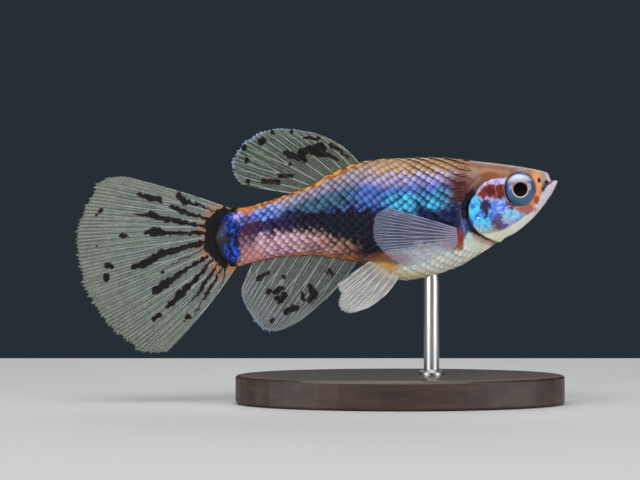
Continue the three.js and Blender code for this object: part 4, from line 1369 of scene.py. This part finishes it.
def paired_fins(word, side):
    pelvic = {
        "root": [(18.9, 10.0), (17.7, 9.4), (16.2, 8.7)],
        "edge": [
            (22.9, 7.25),
            (22.5, 6.2),
            (22.75, 5.2),
            (22.3, 4.5),
            (21.6, 4.3),
            (20.6, 4.6),
            (19.9, 4.85),
        ],
        "bow": (0, 0.5),
        "scallop": 0.06,
        "lateral": lambda t, s: side * (1.15 + 1.5 * s + 0.15 * np.sin(np.pi * t) * s),
    }
    name, pale = "pelvic_fin_" + word, "pale_fin_membrane"
    grow_fin(name, pelvic, pelvic_finish, 7, 96, 44, 0.05, 0.1, forks=(0.25, 0.6))
    pectoral = {
        "root": [(10.5, 13.0), (10.35, 12.2), (10.7, 11.3)],
        "edge": [
            (17.8, 15.19),
            (18.8, 14.75),
            (19.3, 13.9),
            (19.4, 12.7),
            (19.1, 11.6),
            (18.3, 10.7),
            (17.2, 9.85),
            (16.0, 9.2),
        ],
        "bow": (0, 0.3),
        "lateral": lambda t, s: side * (3.2 + 2.3 * (1 - (1 - s) ** 2) - 0.3 * t),
    }
    name = "pectoral_fin_" + word
    grow_fin(name, pectoral, pectoral_finish, 12, 132, 50, 0.04, 0.06, forks=(0.35, 0.7))


paired_fins("right", -1)
paired_fins("left", 1)

# Stand
# An oval of dark stained wood and one satin steel rod. The rod stands in a small collar on
# the wood, and its tip runs a little way into the belly.
wood_finish, bench, surface = new_material("dark_stained_wood")
place = bench.lay("ShaderNodeTexCoord", out=3)
stretched = bench.lay("ShaderNodeMapping", None, {"Vector": place, "Scale": (60, 900, 900)})
grain_lines = bench.noise(stretched, 1.0, 4.0, 0.6)
colour = bench.tint(bench.step(grain_lines, 0.35, 0.7), paint(44, 30, 24), paint(74, 50, 38))
grain = bench.lay("ShaderNodeBump", None, {"Strength": 0.2, "Distance": 0.00005, "Height": grain_lines})
feed(bench, surface, Base_Color=colour, Roughness=0.42 + grain_lines * 0.1, Normal=grain, Coat_Weight=0.2)
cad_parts["stand_base"].data.materials.clear()
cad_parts["stand_base"].data.materials.append(wood_finish)

steel_finish, bench, surface = new_material("satin_steel")
place = bench.lay("ShaderNodeTexCoord", out=3)
stretched = bench.lay("ShaderNodeMapping", None, {"Vector": place, "Scale": (3000, 3000, 60)})
brushed = bench.noise(stretched, 1.0, 2.0)
feed(bench, surface, Base_Color=(0.56, 0.57, 0.58, 1), Metallic=1.0, Roughness=0.25 + brushed * 0.2)

ROD_BEHIND = 13.0
ROD_RADIUS = 0.8
ROD_INTO_BELLY = 0.25
BASE_TOP = 3.0
rod_top = LOWEST_TIP_Z + float(belly_at(ROD_BEHIND)) + ROD_INTO_BELLY
outline = [
    (0.0, BASE_TOP),
    (ROD_RADIUS + 0.55, BASE_TOP),
    (ROD_RADIUS + 0.55, BASE_TOP + 0.25),
    (ROD_RADIUS + 0.4, BASE_TOP + 0.4),
    (ROD_RADIUS + 0.06, BASE_TOP + 0.42),
    (ROD_RADIUS, BASE_TOP + 0.5),
    (ROD_RADIUS, rod_top - 0.9),
    (ROD_RADIUS * 0.9, rod_top),
    (0.0, rod_top),
]
points, faces, sides = [], [], 48
for radius, level in outline[1:-1]:
    for j in range(sides):
        turn = 2 * math.pi * j / sides
        x, y = JAW_TIP_X - ROD_BEHIND + radius * math.cos(turn), radius * math.sin(turn)
        points.append((x * 0.001, y * 0.001, level * 0.001))
for i in range(len(outline) - 3):
    for j in range(sides):
        k = (j + 1) % sides
        faces.append((i * sides + j, i * sides + k, (i + 1) * sides + k, (i + 1) * sides + j))
top = (len(outline) - 3) * sides
end_caps = [tuple(range(sides))[::-1], tuple(range(top, top + sides))]
rod = mesh_piece("rod", points, faces + end_caps)
rod.data.set_sharp_from_angle(angle=0.6)
rod.data.materials.append(steel_finish)
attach(rod, "root")
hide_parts("stand_rod")

# Camera, light and floor
# A level side view at the fish's own height, as close as a short telephoto gives it.
# The photograph's pixels give its place: the fish is 484 of them long, the tail fin's lowest
# tip lies on row 355, and the frame's origin on column 400.
FISH_LENGTH = 50
FISH_LENGTH_PX = 484
PHOTO_WIDTH_PX = 640
PHOTO_HEIGHT_PX = 480
LOWEST_TIP_ROW = 355
ORIGIN_COLUMN = 400
LENS = 100
SENSOR_WIDTH = 36
PIXEL = FISH_LENGTH / FISH_LENGTH_PX
camera_data = bpy.data.cameras.new("camera")
camera_data.lens = LENS
camera_data.sensor_width = SENSOR_WIDTH
camera_data.clip_start = 0.01
camera = put_in_scene("camera", camera_data)
view_distance = PHOTO_WIDTH_PX * PIXEL * 0.001 * LENS / SENSOR_WIDTH
view_height = (LOWEST_TIP_Z + (LOWEST_TIP_ROW - PHOTO_HEIGHT_PX / 2) * PIXEL) * 0.001
view_x = (PHOTO_WIDTH_PX / 2 - ORIGIN_COLUMN) * PIXEL * 0.001
camera.location = (view_x, -view_distance, view_height)
camera.rotation_euler = (math.pi / 2, 0, 0)
bpy.context.scene.camera = camera


def plain_sheet(name, corners, colour, roughness):
    sheet = mesh_piece(name, corners, [(0, 1, 2, 3)])
    finish, bench, surface = new_material(name + "_paint")
    feed(bench, surface, Base_Color=colour, Roughness=roughness)
    sheet.data.materials.append(finish)
    return sheet


FLOOR_SIDE = 0.3
FLOOR_FRONT = -0.3
FLOOR_REAR = 0.07
front_corners = [(-FLOOR_SIDE, FLOOR_FRONT, 0), (FLOOR_SIDE, FLOOR_FRONT, 0)]
rear_corners = [(FLOOR_SIDE, FLOOR_REAR, 0), (-FLOOR_SIDE, FLOOR_REAR, 0)]
floor_corners = front_corners + rear_corners
plain_sheet("floor", floor_corners, (0.64, 0.64, 0.63, 1), 0.85)


def soft_light(name, place, aim, size, power, colour=(1, 1, 1)):
    data = bpy.data.lights.new(name, "AREA")
    data.shape = "RECTANGLE"
    data.size, data.size_y = size
    data.energy = power
    data.color = colour
    light = put_in_scene(name, data)
    direction = np.subtract(aim, place)
    light.location = place
    light.rotation_euler = (
        math.acos(-direction[2] / np.linalg.norm(direction)),
        0,
        math.atan2(direction[1], direction[0]) - math.pi / 2,
    )


soft_light("overhead", (-0.02, -0.08, 0.28), (0, 0, 0.018), (0.26, 0.2), 0.6)
soft_light("front_left", (-0.22, -0.2, 0.07), (0, 0, 0.016), (0.16, 0.12), 0.38)
soft_light("front_right", (0.23, -0.17, 0.07), (0, 0, 0.016), (0.16, 0.12), 0.38)
soft_light("back_rim", (0.0, 0.24, 0.2), (0, 0, 0.018), (0.3, 0.12), 0.2)
world = bpy.data.worlds.new("studio")
world.use_nodes = True
world.node_tree.nodes["Background"].inputs[0].default_value = (0.02, 0.028, 0.036, 1)
world.node_tree.nodes["Background"].inputs[1].default_value = 1.0
bpy.context.scene.world = world
bpy.context.scene.view_settings.view_transform = "Standard"
